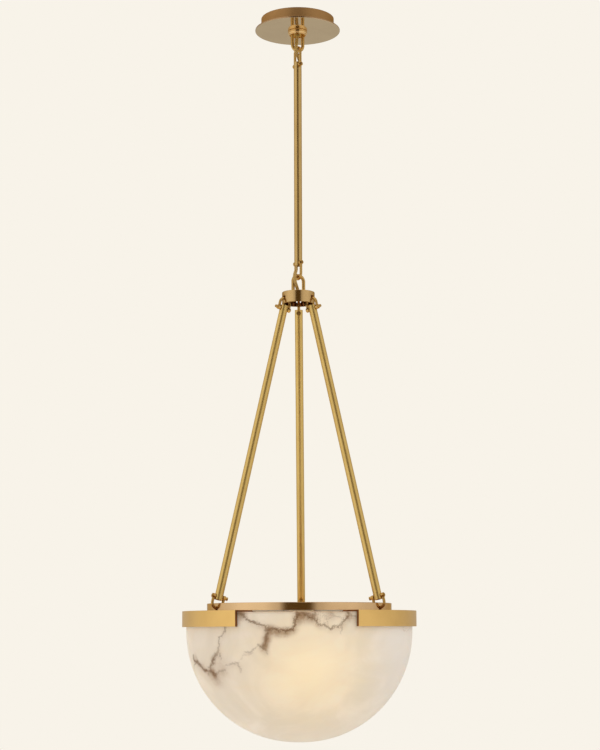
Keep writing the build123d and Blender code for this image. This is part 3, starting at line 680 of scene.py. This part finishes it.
def rim_edge(centre_radius, start_degrees):
    """Rounded edge of the rim: a quarter circle that starts in the given direction."""
    sweep = np.radians(np.linspace(start_degrees, start_degrees + 90, rim_rows))
    edge = bowl_rim_edge * np.stack([np.cos(sweep), np.sin(sweep)], axis=1)
    return edge + [centre_radius, edge_height]


def upright(radius, low, high, rows):
    """Upright line of the bowl's section without its ends."""
    heights = np.linspace(low, high, rows + 2)[1:-1]
    return np.stack([np.full(rows, radius), heights], axis=1)


bowl_inside = bowl_radius - bowl_wall
outer_profile = np.concatenate([
    [[0.0, bowl_low.z]],
    bowl_arc(bowl_corner, outer_arc_rows),
    upright(bowl_radius, bowl_arc_height, edge_height, outer_wall_rows),
    rim_edge(bowl_radius - bowl_rim_edge, 0),
])
inner_profile = np.concatenate([
    rim_edge(bowl_inside + bowl_rim_edge, 90),
    upright(bowl_inside, edge_height, bowl_arc_height, inner_wall_rows),
    bowl_arc(bowl_corner - bowl_wall, inner_arc_rows)[::-1],
    [[0.0, bowl_low.z + bowl_wall]],
])
inner_twin = np.concatenate([
    np.tile([[bowl_radius, bowl_high.z]], (rim_rows, 1)),
    upright(bowl_radius, edge_height, bowl_arc_height, inner_wall_rows),
    bowl_arc(bowl_corner, inner_arc_rows)[::-1],
    [[0.0, bowl_low.z]],
])
bowl = wrapped("stone_bowl", revolved(np.concatenate([outer_profile, inner_profile]), bowl_sides))

# Each point of the bowl's inside takes its veins from the point of the outside across the wall, its twin.
stone_points = revolved(np.concatenate([outer_profile, inner_twin]), bowl_sides).reshape(-1, 3)


def bowl_excess(points):
    """How far points stand outside the bowl's outer surface: below the wall's foot the distance from the
    corner's circle, above it the distance from the wall."""
    radius = np.hypot(points[:, 0], points[:, 1])
    below = np.minimum(points[:, 2] - bowl_arc_height, 0)
    return np.hypot(np.maximum(radius - bowl_flat, 0), below) - bowl_corner


halvings = 40


def on_bowl(pixels):
    """Points of the bowl's outside that the camera sees at the given pixels: the first crossing of each
    sight line, closed in by halving."""
    turn = np.array(camera.matrix_world)
    sight = np.stack(
        [
            (pixels[:, 0] - frame_width / 2) / focal_pixels,
            (frame_height / 2 - pixels[:, 1]) / focal_pixels,
            -np.ones(len(pixels)),
        ],
        axis=1,
    ) @ turn[:3, :3].T
    eye = turn[:3, 3]
    near = np.full(len(pixels), camera_distance - 2 * bowl_radius)
    far = np.full(len(pixels), camera_distance)
    for halving in range(halvings):
        middle = (near + far) / 2
        outside = bowl_excess(eye + sight * middle[:, None]) > 0
        near = np.where(outside, middle, near)
        far = np.where(outside, far, middle)
    return eye + sight * far[:, None]


def on_stone(places):
    """Points of the bowl's outside at (angle, length along the section from the bottom)."""
    angle, length = places[:, 0], places[:, 1]
    sweep = np.clip(length / bowl_corner, 0, np.pi / 2)
    rise = np.maximum(length - bowl_corner * np.pi / 2, 0)
    radius = bowl_flat + bowl_corner * np.sin(sweep)
    height = np.minimum(bowl_arc_height - bowl_corner * np.cos(sweep) + rise, bowl_high.z)
    return np.stack([radius * np.cos(angle), radius * np.sin(angle), height], axis=1)


vein_draw = np.random.default_rng(41)


def roughened(path, levels, roughness, squeeze=(1.0, 1.0)):
    """Line broken up by midpoint displacement: each level halves every run and moves the new point
    sideways by a seeded share of the run. Columns after the first two are only averaged."""
    path = np.asarray(path, float)
    scale = np.asarray(squeeze)
    for level in range(levels):
        start, end = path[:-1], path[1:]
        run = (end[:, :2] - start[:, :2]) * scale
        side = np.stack([-run[:, 1], run[:, 0]], axis=1) / scale
        middle = (start + end) / 2
        middle[:, :2] += side * vein_draw.normal(0, roughness, (len(run), 1))
        woven = np.empty((len(path) * 2 - 1, path.shape[1]))
        woven[::2], woven[1::2] = path, middle
        path = woven
    return path


# Veins on the front: pixel, half width in millimetres, depth of colour and share of smoke.
front_veins = (
    (
        (239, 613, 2.0, 0.75, 0.6), (244.5, 617, 1.0, 0.7, 0.3),
        (251.9, 621.6, 1.2, 0.9, 0.4), (256.9, 623.8, 1.2, 0.9, 0.4),
    ),
    (
        (256.9, 623.8, 1.1, 0.8, 0.4), (261, 624.2, 1.0, 0.7, 0.4),
        (265.2, 626.5, 1.2, 0.8, 0.7), (269.3, 628.4, 2.2, 0.9, 1),
    ),
    (
        (269.3, 628.4, 2.2, 0.9, 1), (275.1, 629, 1.6, 0.95, 1),
        (280.9, 629.6, 1.5, 1, 1), (285.1, 631, 1.6, 1, 1),
    ),
    ((285.1, 631, 1.6, 1, 1), (290, 629.6, 1.5, 1, 0.9), (293.8, 628.4, 1.3, 0.95, 0.9)),
    (
        (293.8, 628.4, 1.3, 0.95, 0.9), (295, 623.2, 1.2, 0.9, 0.9),
        (296.7, 618.2, 1.4, 0.9, 1), (299.2, 611, 1.8, 0.9, 0.8),
    ),
    (
        (300.5, 612.6, 1.8, 0.9, 0.8), (304.5, 614.3, 1.4, 0.9, 0.9),
        (309.1, 617.4, 1.3, 0.9, 0.8), (313.7, 618.2, 1.5, 0.9, 0.7),
    ),
    (
        (313.7, 618.2, 1.2, 0.85, 0.7), (316.6, 623.2, 0.9, 0.75, 0.4),
        (318.2, 624.9, 1.1, 0.8, 0.35), (323.2, 624.5, 0.9, 0.7, 0.3),
    ),
    (
        (323.2, 624.5, 0.9, 0.7, 0.3), (327.4, 626.5, 1.0, 0.75, 0.3),
        (332.3, 628.6, 1.2, 0.8, 0.35), (335.7, 626.5, 0.9, 0.75, 0.3),
    ),
    (
        (335.7, 626.5, 0.9, 0.75, 0.3), (340.6, 624.9, 1.0, 0.8, 0.35),
        (343.1, 621.6, 0.9, 0.8, 0.35), (346.8, 617.4, 1.2, 0.85, 0.5),
    ),
    ((346.8, 617.4, 1.2, 0.85, 0.5), (348.4, 614, 1.3, 0.85, 0.5), (347.6, 608, 1.1, 0.8, 0.4)),
    (
        (306.6, 613.3, 0.8, 0.7, 0.4), (311.6, 615.6, 0.9, 0.75, 0.5),
        (314.1, 614.1, 0.9, 0.75, 0.4), (315.8, 609, 0.6, 0.5, 0.2),
    ),
    ((313.9, 618.2, 0.9, 0.7, 0.4), (315.4, 615.2, 0.8, 0.6, 0.3), (314.6, 612, 0.6, 0.5, 0.2)),
    ((348.4, 614.6, 0.8, 0.55, 0.3), (352.5, 615.6, 0.9, 0.4, 0.3), (356.8, 617.6, 0.8, 0.3, 0.2)),
    ((341.4, 625, 0.8, 0.6, 0.2), (342.1, 629.5, 0.6, 0.4, 0.1), (342, 635, 0.4, 0.2, 0)),
    (
        (269.3, 628.4, 2.3, 0.8, 1), (266.6, 634, 2.4, 0.75, 1),
        (264.9, 642, 2.2, 0.75, 1), (263.8, 648.6, 1.7, 0.8, 0.9),
    ),
    ((264, 648.4, 1.2, 0.8, 0.5), (261, 646.8, 1.1, 0.8, 0.4), (257.9, 644.4, 0.7, 0.6, 0.2)),
    ((263.6, 648.4, 1.2, 0.7, 0.5), (266.6, 651.4, 0.7, 0.5, 0.3), (267.4, 655, 0.5, 0.25, 0.1)),
    (
        (258.4, 645.4, 0.7, 0.25, 0.1), (252.6, 650.2, 0.9, 0.4, 0.15),
        (248.5, 652.2, 0.9, 0.45, 0.15), (244.2, 651.9, 0.7, 0.35, 0.1),
    ),
    (
        (252.4, 653.3, 0.6, 0.2, 0), (247.8, 654.9, 0.6, 0.25, 0),
        (243.4, 655.2, 0.6, 0.25, 0), (240.6, 660, 0.5, 0.15, 0),
    ),
    (
        (226, 625, 1.2, 0.55, 0.2), (224.8, 630.9, 1.0, 0.5, 0.2),
        (222.3, 635, 0.8, 0.5, 0.2), (218.8, 641.5, 0.8, 0.55, 0.2),
    ),
    ((218.8, 641.5, 0.9, 0.65, 0.2), (218.7, 646.7, 0.8, 0.5, 0.2), (218.2, 651.6, 1.0, 0.6, 0.3)),
    (
        (218.2, 651.6, 1.0, 0.6, 0.3), (215.6, 654.9, 1.8, 0.8, 0.4),
        (213.1, 660.5, 2.2, 0.9, 0.5), (211, 665.1, 1.5, 0.75, 0.6),
    ),
    ((211, 665.1, 1.3, 0.7, 0.6), (210.5, 668.6, 1.5, 0.75, 0.8), (212.1, 672.2, 2.6, 0.9, 1)),
    ((218.2, 651.6, 0.8, 0.5, 0.2), (219.7, 655.9, 0.8, 0.5, 0.2), (220.8, 659.8, 0.6, 0.3, 0.1)),
    (
        (193.7, 655.5, 1.2, 0.7, 0.5), (194.7, 660.5, 1.7, 0.95, 0.6),
        (196.2, 662.3, 1.7, 0.95, 0.5), (197.8, 661.5, 1.6, 0.9, 0.5),
    ),
    (
        (197.8, 661.5, 1.6, 0.9, 0.5), (199.8, 664, 1.8, 0.95, 0.5),
        (202.4, 667.1, 1.7, 0.95, 0.5), (204.6, 670.2, 1.6, 0.95, 0.5),
    ),
    (
        (204.6, 670.2, 1.6, 0.95, 0.5), (208.5, 671.2, 1.6, 0.95, 0.8),
        (212.1, 672.2, 2.6, 0.9, 1), (216.1, 675.8, 1.7, 0.75, 0.9),
    ),
    ((195.7, 662.8, 0.8, 0.55, 0.2), (194.2, 665.6, 0.8, 0.5, 0.1), (194.2, 668.8, 0.7, 0.4, 0.1)),
    ((209.3, 672, 0.9, 0.6, 0.4), (208.4, 675.4, 0.7, 0.5, 0.2)),
    (
        (215.6, 674.2, 1.1, 0.6, 0.6), (218.7, 671.7, 1.0, 0.55, 0.5),
        (221.8, 671.2, 1.0, 0.5, 0.4), (225.3, 670, 0.8, 0.4, 0.3),
    ),
    (
        (226, 664.8, 0.8, 0.3, 0.15), (229.9, 664.4, 0.9, 0.4, 0.15),
        (233, 663, 0.9, 0.45, 0.15), (237.1, 663, 1.1, 0.5, 0.2),
    ),
    ((237.1, 663, 1.0, 0.45, 0.2), (238.8, 666.3, 0.9, 0.4, 0.2), (240.6, 672.6, 0.8, 0.2, 0.1)),
    (
        (399, 625, 0.5, 0.3, 0.1), (403, 629.6, 0.5, 0.35, 0.1),
        (407, 631.4, 0.5, 0.35, 0.1), (410.5, 628.4, 0.5, 0.3, 0.1),
    ),
    (
        (321, 610, 0.6, 0.35, 0.2), (326, 616, 0.6, 0.35, 0.2),
        (327.6, 622, 0.5, 0.35, 0.2), (329, 626.6, 0.5, 0.3, 0.1),
    ),
    (
        (329, 609, 1.0, 0.3, 0.3), (333, 614, 0.9, 0.35, 0.3),
        (338.5, 616.5, 0.6, 0.35, 0.2), (342.5, 621, 0.5, 0.3, 0.1),
    ),
    ((326, 616, 0.5, 0.3, 0.2), (330, 618.2, 0.5, 0.3, 0.2), (334, 617, 0.5, 0.3, 0.2)),
    ((318.5, 613, 0.5, 0.3, 0.1), (320.6, 618, 0.5, 0.25, 0.1), (319.4, 623, 0.5, 0.25, 0.1)),
)
pixel_levels = 3
pixel_roughness = 0.14
smoke_shift = (0.8, 1.6)
feathered_smoke = 0.6
feathers_per_run = 7
feather_lean = -2.1
feather_spread = 0.5
feather_lengths = (1.5, 4.5)
feather_levels = 2
front_runs = [roughened(path, pixel_levels, pixel_roughness) for path in front_veins]


def feather(root):
    """Short crack that leaves a strong vein up and to the left by a seeded length, thinner to its tip."""
    heading = feather_lean + vein_draw.normal(0, feather_spread)
    along = np.array([0, 0.5, 1])[:, None] * vein_draw.uniform(*feather_lengths)
    line = root[:2] + along * np.array([math.cos(heading), math.sin(heading)])
    taper = np.array([[0.9, 0.85, 0], [0.6, 0.65, 0], [0.35, 0.3, 0]])
    return roughened(np.column_stack([line, taper]), feather_levels, pixel_roughness)


for run in list(front_runs):
    if run[:, 4].mean() > feathered_smoke:
        roots = run[vein_draw.choice(len(run), feathers_per_run, replace=False)]
        front_runs += [feather(root) for root in roots]
vein_runs = [
    np.column_stack([on_bowl(run[:, :2]), on_bowl(run[:, :2] + smoke_shift), run[:, 2:]])
    for run in front_runs
]

# Stains beside the veins: pixel, reach in millimetres and depth. The last, broad and faint, is painted shade
# that darkens the lower left of the bowl towards its edge.
front_stains_and_shade = np.array((
    (302, 615, 7.5, 2.0), (310, 617.5, 6.0, 1.5), (298.5, 620, 5.0, 1.3), (270.5, 631.5, 6.0, 1.8),
    (266.5, 639, 4.5, 1.8), (265, 645.5, 4.0, 1.5), (278, 632.5, 5.5, 0.9), (286, 632.5, 5.5, 0.7),
    (241.5, 613.5, 6.0, 2.2), (213.5, 673.5, 6.0, 1.3), (216, 679, 12.0, 0.55), (223, 668, 15.0, 0.25),
    (204, 669, 6.0, 0.3), (349, 615.5, 5.5, 0.8), (330, 613, 7.0, 0.4), (213, 660, 5.0, 0.5),
    (196, 658, 5.0, 0.4), (340, 612.5, 5.0, 0.3), (204, 670, 16.0, 0.22),
))

# Veins where the photograph shows none of the stone: (start angle, start length, heading, steps) of seeded
# walks on the sides and the back, each with a few thinner forks. Their ink is half width in millimetres,
# depth of colour and share of smoke.
side_walks = (
    (20, 0.262, -60, 26), (62, 0.268, -70, 22), (100, 0.262, -120, 34), (148, 0.266, -50, 30),
    (172, 0.255, -110, 18), (75, 0.17, -10, 16), (128, 0.10, -160, 14),
)
walk_step = 0.006
walk_turn = 0.42
walk_pull = 0.25
fork_every = 5
trunk_ink = (1.3, 0.95, 0.8)
fork_ink = (0.9, 0.6, 0.4)
fork_turns = (0.6, 1.3)
fork_lengths = (4, 10)
thin_end = 0.3
unevenness = (0.7, 1.3)
side_levels = 3
side_roughness = 0.14
stone_squeeze = (bowl_radius, 1.0)
side_smoke_shift = (0.02, -0.003)


def vein_walk(angle, length, heading, steps, half_width, depth, smoke):
    """Seeded walk over the stone: equal steps whose heading swings about its mean, thinner towards the end.
    Gives its points and the direction of each step."""
    swing = np.zeros(steps)
    draws = vein_draw.normal(0, walk_turn, steps)
    for step in range(1, steps):
        swing[step] = (1 - walk_pull) * swing[step - 1] + draws[step]
    directions = heading + swing
    moves = walk_step * np.stack([np.cos(directions) / bowl_radius, np.sin(directions)], axis=1)
    places = np.array([angle, length]) + np.concatenate([[[0, 0]], np.cumsum(moves, axis=0)])
    fade = np.linspace(1, thin_end, steps + 1) * vein_draw.uniform(*unevenness, steps + 1)
    return np.column_stack([places, half_width * fade, depth * fade.clip(0, 1), smoke * fade]), directions


side_paths = []
for angle, length, heading, steps in side_walks:
    trunk, directions = vein_walk(
        math.radians(angle), length, math.radians(heading), steps, *trunk_ink
    )
    side_paths.append(trunk)
    for joint in range(fork_every, steps, fork_every):
        away = vein_draw.choice([-1, 1]) * vein_draw.uniform(*fork_turns)
        fork_steps = int(vein_draw.integers(*fork_lengths))
        fork_heading = directions[joint] + away
        side_paths.append(vein_walk(*trunk[joint, :2], fork_heading, fork_steps, *fork_ink)[0])
for path in side_paths:
    run = roughened(path, side_levels, side_roughness, stone_squeeze)
    smoke_run = on_stone(run[:, :2] + side_smoke_shift)
    vein_runs.append(np.column_stack([on_stone(run[:, :2]), smoke_run, run[:, 2:]]))

vein_points = np.concatenate(vein_runs)
vein_places = vein_points[:, :3].astype(np.float32)
smoke_places = vein_points[:, 3:6].astype(np.float32)
vein_half_widths = vein_points[:, 6] * 1e-3
vein_depths = vein_points[:, 7]
vein_smokes = vein_points[:, 8]
stain_and_shade_places = on_bowl(front_stains_and_shade[:, :2]).astype(np.float32)
stain_and_shade_reaches = front_stains_and_shade[:, 2] * 1e-3
stain_and_shade_depths = front_stains_and_shade[:, 3]
smoke_reach = 0.005
smoke_level = 0.06
vein_offset = np.empty((len(stone_points), 3))
vein_half_width = np.empty(len(stone_points))
vein_depth = np.empty(len(stone_points))
vein_smoke_and_shade = np.empty(len(stone_points))
chunk_size = 4000


def square_distance(points, places):
    """Squares of the distances from each point to each place."""
    return ((points**2).sum(1)[:, None] + (places**2).sum(1)[None] - 2 * points @ places.T).clip(0)


for first in range(0, len(stone_points), chunk_size):
    chunk = stone_points[first:first + chunk_size].astype(np.float32)
    nearest = square_distance(chunk, vein_places).argmin(1)
    vein_offset[first:first + chunk_size] = vein_places[nearest] - chunk
    vein_half_width[first:first + chunk_size] = vein_half_widths[nearest]
    vein_depth[first:first + chunk_size] = vein_depths[nearest]
    # The haze takes in the stains and the painted shade spot at the lower left too.
    haze = np.exp(-square_distance(chunk, smoke_places) / smoke_reach**2) @ (vein_smokes * smoke_level)
    haze += np.exp(-square_distance(chunk, stain_and_shade_places) / stain_and_shade_reaches**2) @ stain_and_shade_depths
    vein_smoke_and_shade[first:first + chunk_size] = 1 - np.exp(-haze)

# Light of the lamps in the stone: a soft round glow on the wall outside each bulb.
bulb_boxes = [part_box(f"bulb_glass_{number}") for number in (1, 2, 3)]
bulb_bearings = np.array([math.atan2(low.y + high.y, low.x + high.x) for low, high in bulb_boxes])
glow_height = -0.965
glow_length = bowl_corner * math.acos((bowl_arc_height - glow_height) / bowl_corner)
glow_reach = 0.074
glow_places = on_stone(np.stack([bulb_bearings, np.full(len(bulb_bearings), glow_length)], axis=1))
lamp_glow = np.exp(-square_distance(stone_points, glow_places) / glow_reach**2).sum(1)


def store(piece, name, kind, values):
    """Keeps one value or vector at each point of a mesh under a name that its material reads."""
    channel = {"FLOAT": "value", "FLOAT_VECTOR": "vector"}[kind]
    layer = piece.data.attributes.new(name, kind, "POINT")
    layer.data.foreach_set(channel, np.asarray(values, np.float32).ravel())


near_full, near_none = 0.0030, 0.0055
vein_distance = np.linalg.norm(vein_offset, axis=1)
store(bowl, "vein_offset", "FLOAT_VECTOR", vein_offset)
store(bowl, "vein_half_width", "FLOAT", vein_half_width)
vein_near = np.clip((near_none - vein_distance) / (near_none - near_full), 0, 1)
store(bowl, "vein_depth", "FLOAT", vein_depth * vein_near)
store(bowl, "vein_smoke_and_shade", "FLOAT", vein_smoke_and_shade)
store(bowl, "lamp_glow", "FLOAT", lamp_glow)
weld(bowl)

alabaster, tree, shader, place = new_material("veined_alabaster")


def read(name, output):
    """Output of an Attribute node that reads a value kept in the mesh."""
    return add_node(tree, "ShaderNodeAttribute", attribute_name=name).outputs[output]


stone_white = colour(246, 234, 218)
stone_cream = colour(240, 224, 198)
stone_grey = colour(234, 221, 202)
painted_glow_tint = colour(238, 223, 192)
painted_cool_light = colour(234, 228, 223)
cool_from, cool_full, cool_share = 0.08, 0.14, 0.55
smoke_and_shade_colour = colour(151, 115, 79)
core_colour = colour(125, 93, 63)
crack_colour = colour(184, 140, 112)
glow_colour = colour(255, 221, 167)
rim_shade_colour = colour(150, 116, 84)
rim_shade_reach = 0.004
rim_shade_share = 0.4
wander_reach = 0.0038
layer_squeeze = (1.0, 1.0, 2.6)

cloud = add_noise(tree, place, 11.0, detail=5.0, roughness=0.55, distortion=1.2)
layer_place = add_vector(tree, "MULTIPLY", place, layer_squeeze)
layers = add_noise(tree, layer_place, 17.0, detail=3.0, distortion=0.8)
glow = read("lamp_glow", "Fac")
milky = add_step(tree, cloud, 0.35, 0.68)
stone = add_mix(tree, milky, stone_grey, stone_white)
stone = add_mix(tree, add_step(tree, layers, 0.45, 0.75, 0.0, 0.5), stone, stone_cream)
# Painted light: the stone's colour turns warmer where the lamps' glow falls.
stone = add_mix(tree, add_math(tree, "MULTIPLY", glow, 0.85, clamp=True), stone, painted_glow_tint)
stone_parts = add_split(tree, place)
# Painted light: the right side of the bowl turns cooler grey, as the cool light from the right falls on it.
cool = add_step(tree, stone_parts["X"], cool_from, cool_full, 0.0, cool_share)
stone = add_mix(tree, cool, stone, painted_cool_light)

wander = add_noise(tree, place, 260.0, detail=4.0, roughness=0.62, output="Color")
wander = add_vector(tree, "SCALE", add_vector(tree, "SUBTRACT", wander, (0.5, 0.5, 0.5)))
wander.node.inputs["Scale"].default_value = wander_reach
distance = add_vector(tree, "LENGTH", add_vector(tree, "ADD", read("vein_offset", "Vector"), wander))
fringe = add_noise(tree, place, 430.0, detail=3.0, roughness=0.75)
frayed = add_step(tree, fringe, 0.34, 0.68, 0.45, 2.3)
width = add_math(tree, "MULTIPLY", read("vein_half_width", "Fac"), frayed)
ratio = add_math(tree, "DIVIDE", distance, width)
core = add_math(tree, "MULTIPLY", add_step(tree, ratio, 0.2, 1.8, 1.0, 0.0), read("vein_depth", "Fac"))
core_break = add_noise(tree, place, 95.0, detail=3.0)
core = add_math(tree, "MULTIPLY", core, add_step(tree, core_break, 0.22, 0.62, 0.6, 0.95))
puffs = add_noise(tree, place, 85.0, detail=5.0, roughness=0.6, distortion=0.6)
smoke_density = add_step(tree, puffs, 0.28, 0.66, 0.7, 1.1)
smoke = add_math(tree, "MULTIPLY", read("vein_smoke_and_shade", "Fac"), smoke_density, clamp=True)

crackle_place = add_vector(tree, "ADD", place, add_vector(tree, "MULTIPLY", wander, (1.6, 1.6, 1.6)))
crackle = add_node(
    tree, "ShaderNodeTexVoronoi", {"Vector": crackle_place, "Scale": 95.0}, feature="DISTANCE_TO_EDGE"
).outputs["Distance"]
crack_line = add_step(tree, crackle, 0.0, 0.05, 1.0, 0.0)
crack_depth = add_step(tree, read("vein_smoke_and_shade", "Fac"), 0.04, 0.4, 0.0, 0.4)
crack_share = add_math(tree, "MULTIPLY", crack_line, crack_depth)

# Smoke, stains and the painted shade at the lower left take the smoke colour.
stone = add_mix(tree, add_math(tree, "MULTIPLY", smoke, 0.95), stone, smoke_and_shade_colour)
stone = add_mix(tree, crack_share, stone, crack_colour)
stone = add_mix(tree, core, stone, core_colour)
# Painted shade: the top 4 mm of the rim darken towards brown, where the ring above shades the stone.
rim_shade_mask = add_step(tree, stone_parts["Z"], bowl_high.z - rim_shade_reach, bowl_high.z, 0.0, rim_shade_share)
stone = add_mix(tree, rim_shade_mask, stone, rim_shade_colour)
tree.links.new(stone, shader.inputs["Base Color"])

glow_cloud = add_math(tree, "MULTIPLY", glow, add_step(tree, cloud, 0.3, 0.7, 0.85, 1.1))
dark_veins = add_math(tree, "MULTIPLY_ADD", core, -0.7, 1.0)
dark_veins = add_math(tree, "MULTIPLY", dark_veins, add_math(tree, "MULTIPLY_ADD", smoke, -0.6, 1.0))
glow_level = add_math(tree, "MULTIPLY", glow_cloud, dark_veins)
shine = add_mix(tree, glow_level, grey(0.0), glow_colour)
tree.links.new(shine, shader.inputs["Emission Color"])
shader.inputs["Emission Strength"].default_value = 0.255

polish = add_noise(tree, place, 140.0, detail=3.0)
tree.links.new(add_math(tree, "MULTIPLY_ADD", polish, 0.16, 0.30), shader.inputs["Roughness"])
shader.inputs["Specular IOR Level"].default_value = 0.2
shader.inputs["Subsurface Weight"].default_value = 0.25
shader.inputs["Subsurface Radius"].default_value = (1.0, 0.7, 0.45)
shader.inputs["Subsurface Scale"].default_value = 0.004
bowl.data.materials.append(alabaster)
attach(bowl, "bowl")
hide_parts("alabaster_bowl")


# Bowl fixing and socket spider: zinc plated screws with washers hold the stone in its clasps, and a stamped
# steel spider screwed to the clasps' tabs carries the lampholders.
dress(zinc, "bowl_washers", "bowl_screws", "socket_spider", "spider_screws", "spider_nuts", "lampholder_nuts")


# Lampholders and bulbs: glazed porcelain holders, nickel plated screw caps and frosted glass candle bulbs,
# which shine all over but less at the neck above.
porcelain = clouded(
    "glazed_porcelain", 300.0, colour(226, 222, 212), colour(240, 237, 230), 0.1, 0.16,
    settings={"Coat Weight": 0.4},
)
dress(porcelain, "lampholder_1", "lampholder_2", "lampholder_3")

cap_nickel = plated_steel("cap_nickel", 0.74, 0.24)
dress(cap_nickel, "bulb_base_1", "bulb_base_2", "bulb_base_3")

bulb_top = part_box("bulb_glass_1")[1].z
bulb_neck = 0.018
neck_light = 0.25
frosted_glass = clouded(
    "frosted_glass", 500.0, colour(238, 230, 214), colour(250, 244, 232), 0.12, 0.3,
    settings={"Emission Strength": 1.6},
)
tree, shader, place = inside(frosted_glass)
lit = add_step(tree, add_split(tree, place)["Z"], bulb_top - bulb_neck, bulb_top, 1.0, neck_light)
tree.links.new(add_mix(tree, lit, grey(0.0), colour(255, 222, 160)), shader.inputs["Emission Color"])
dress(frosted_glass, "bulb_glass_1", "bulb_glass_2", "bulb_glass_3")
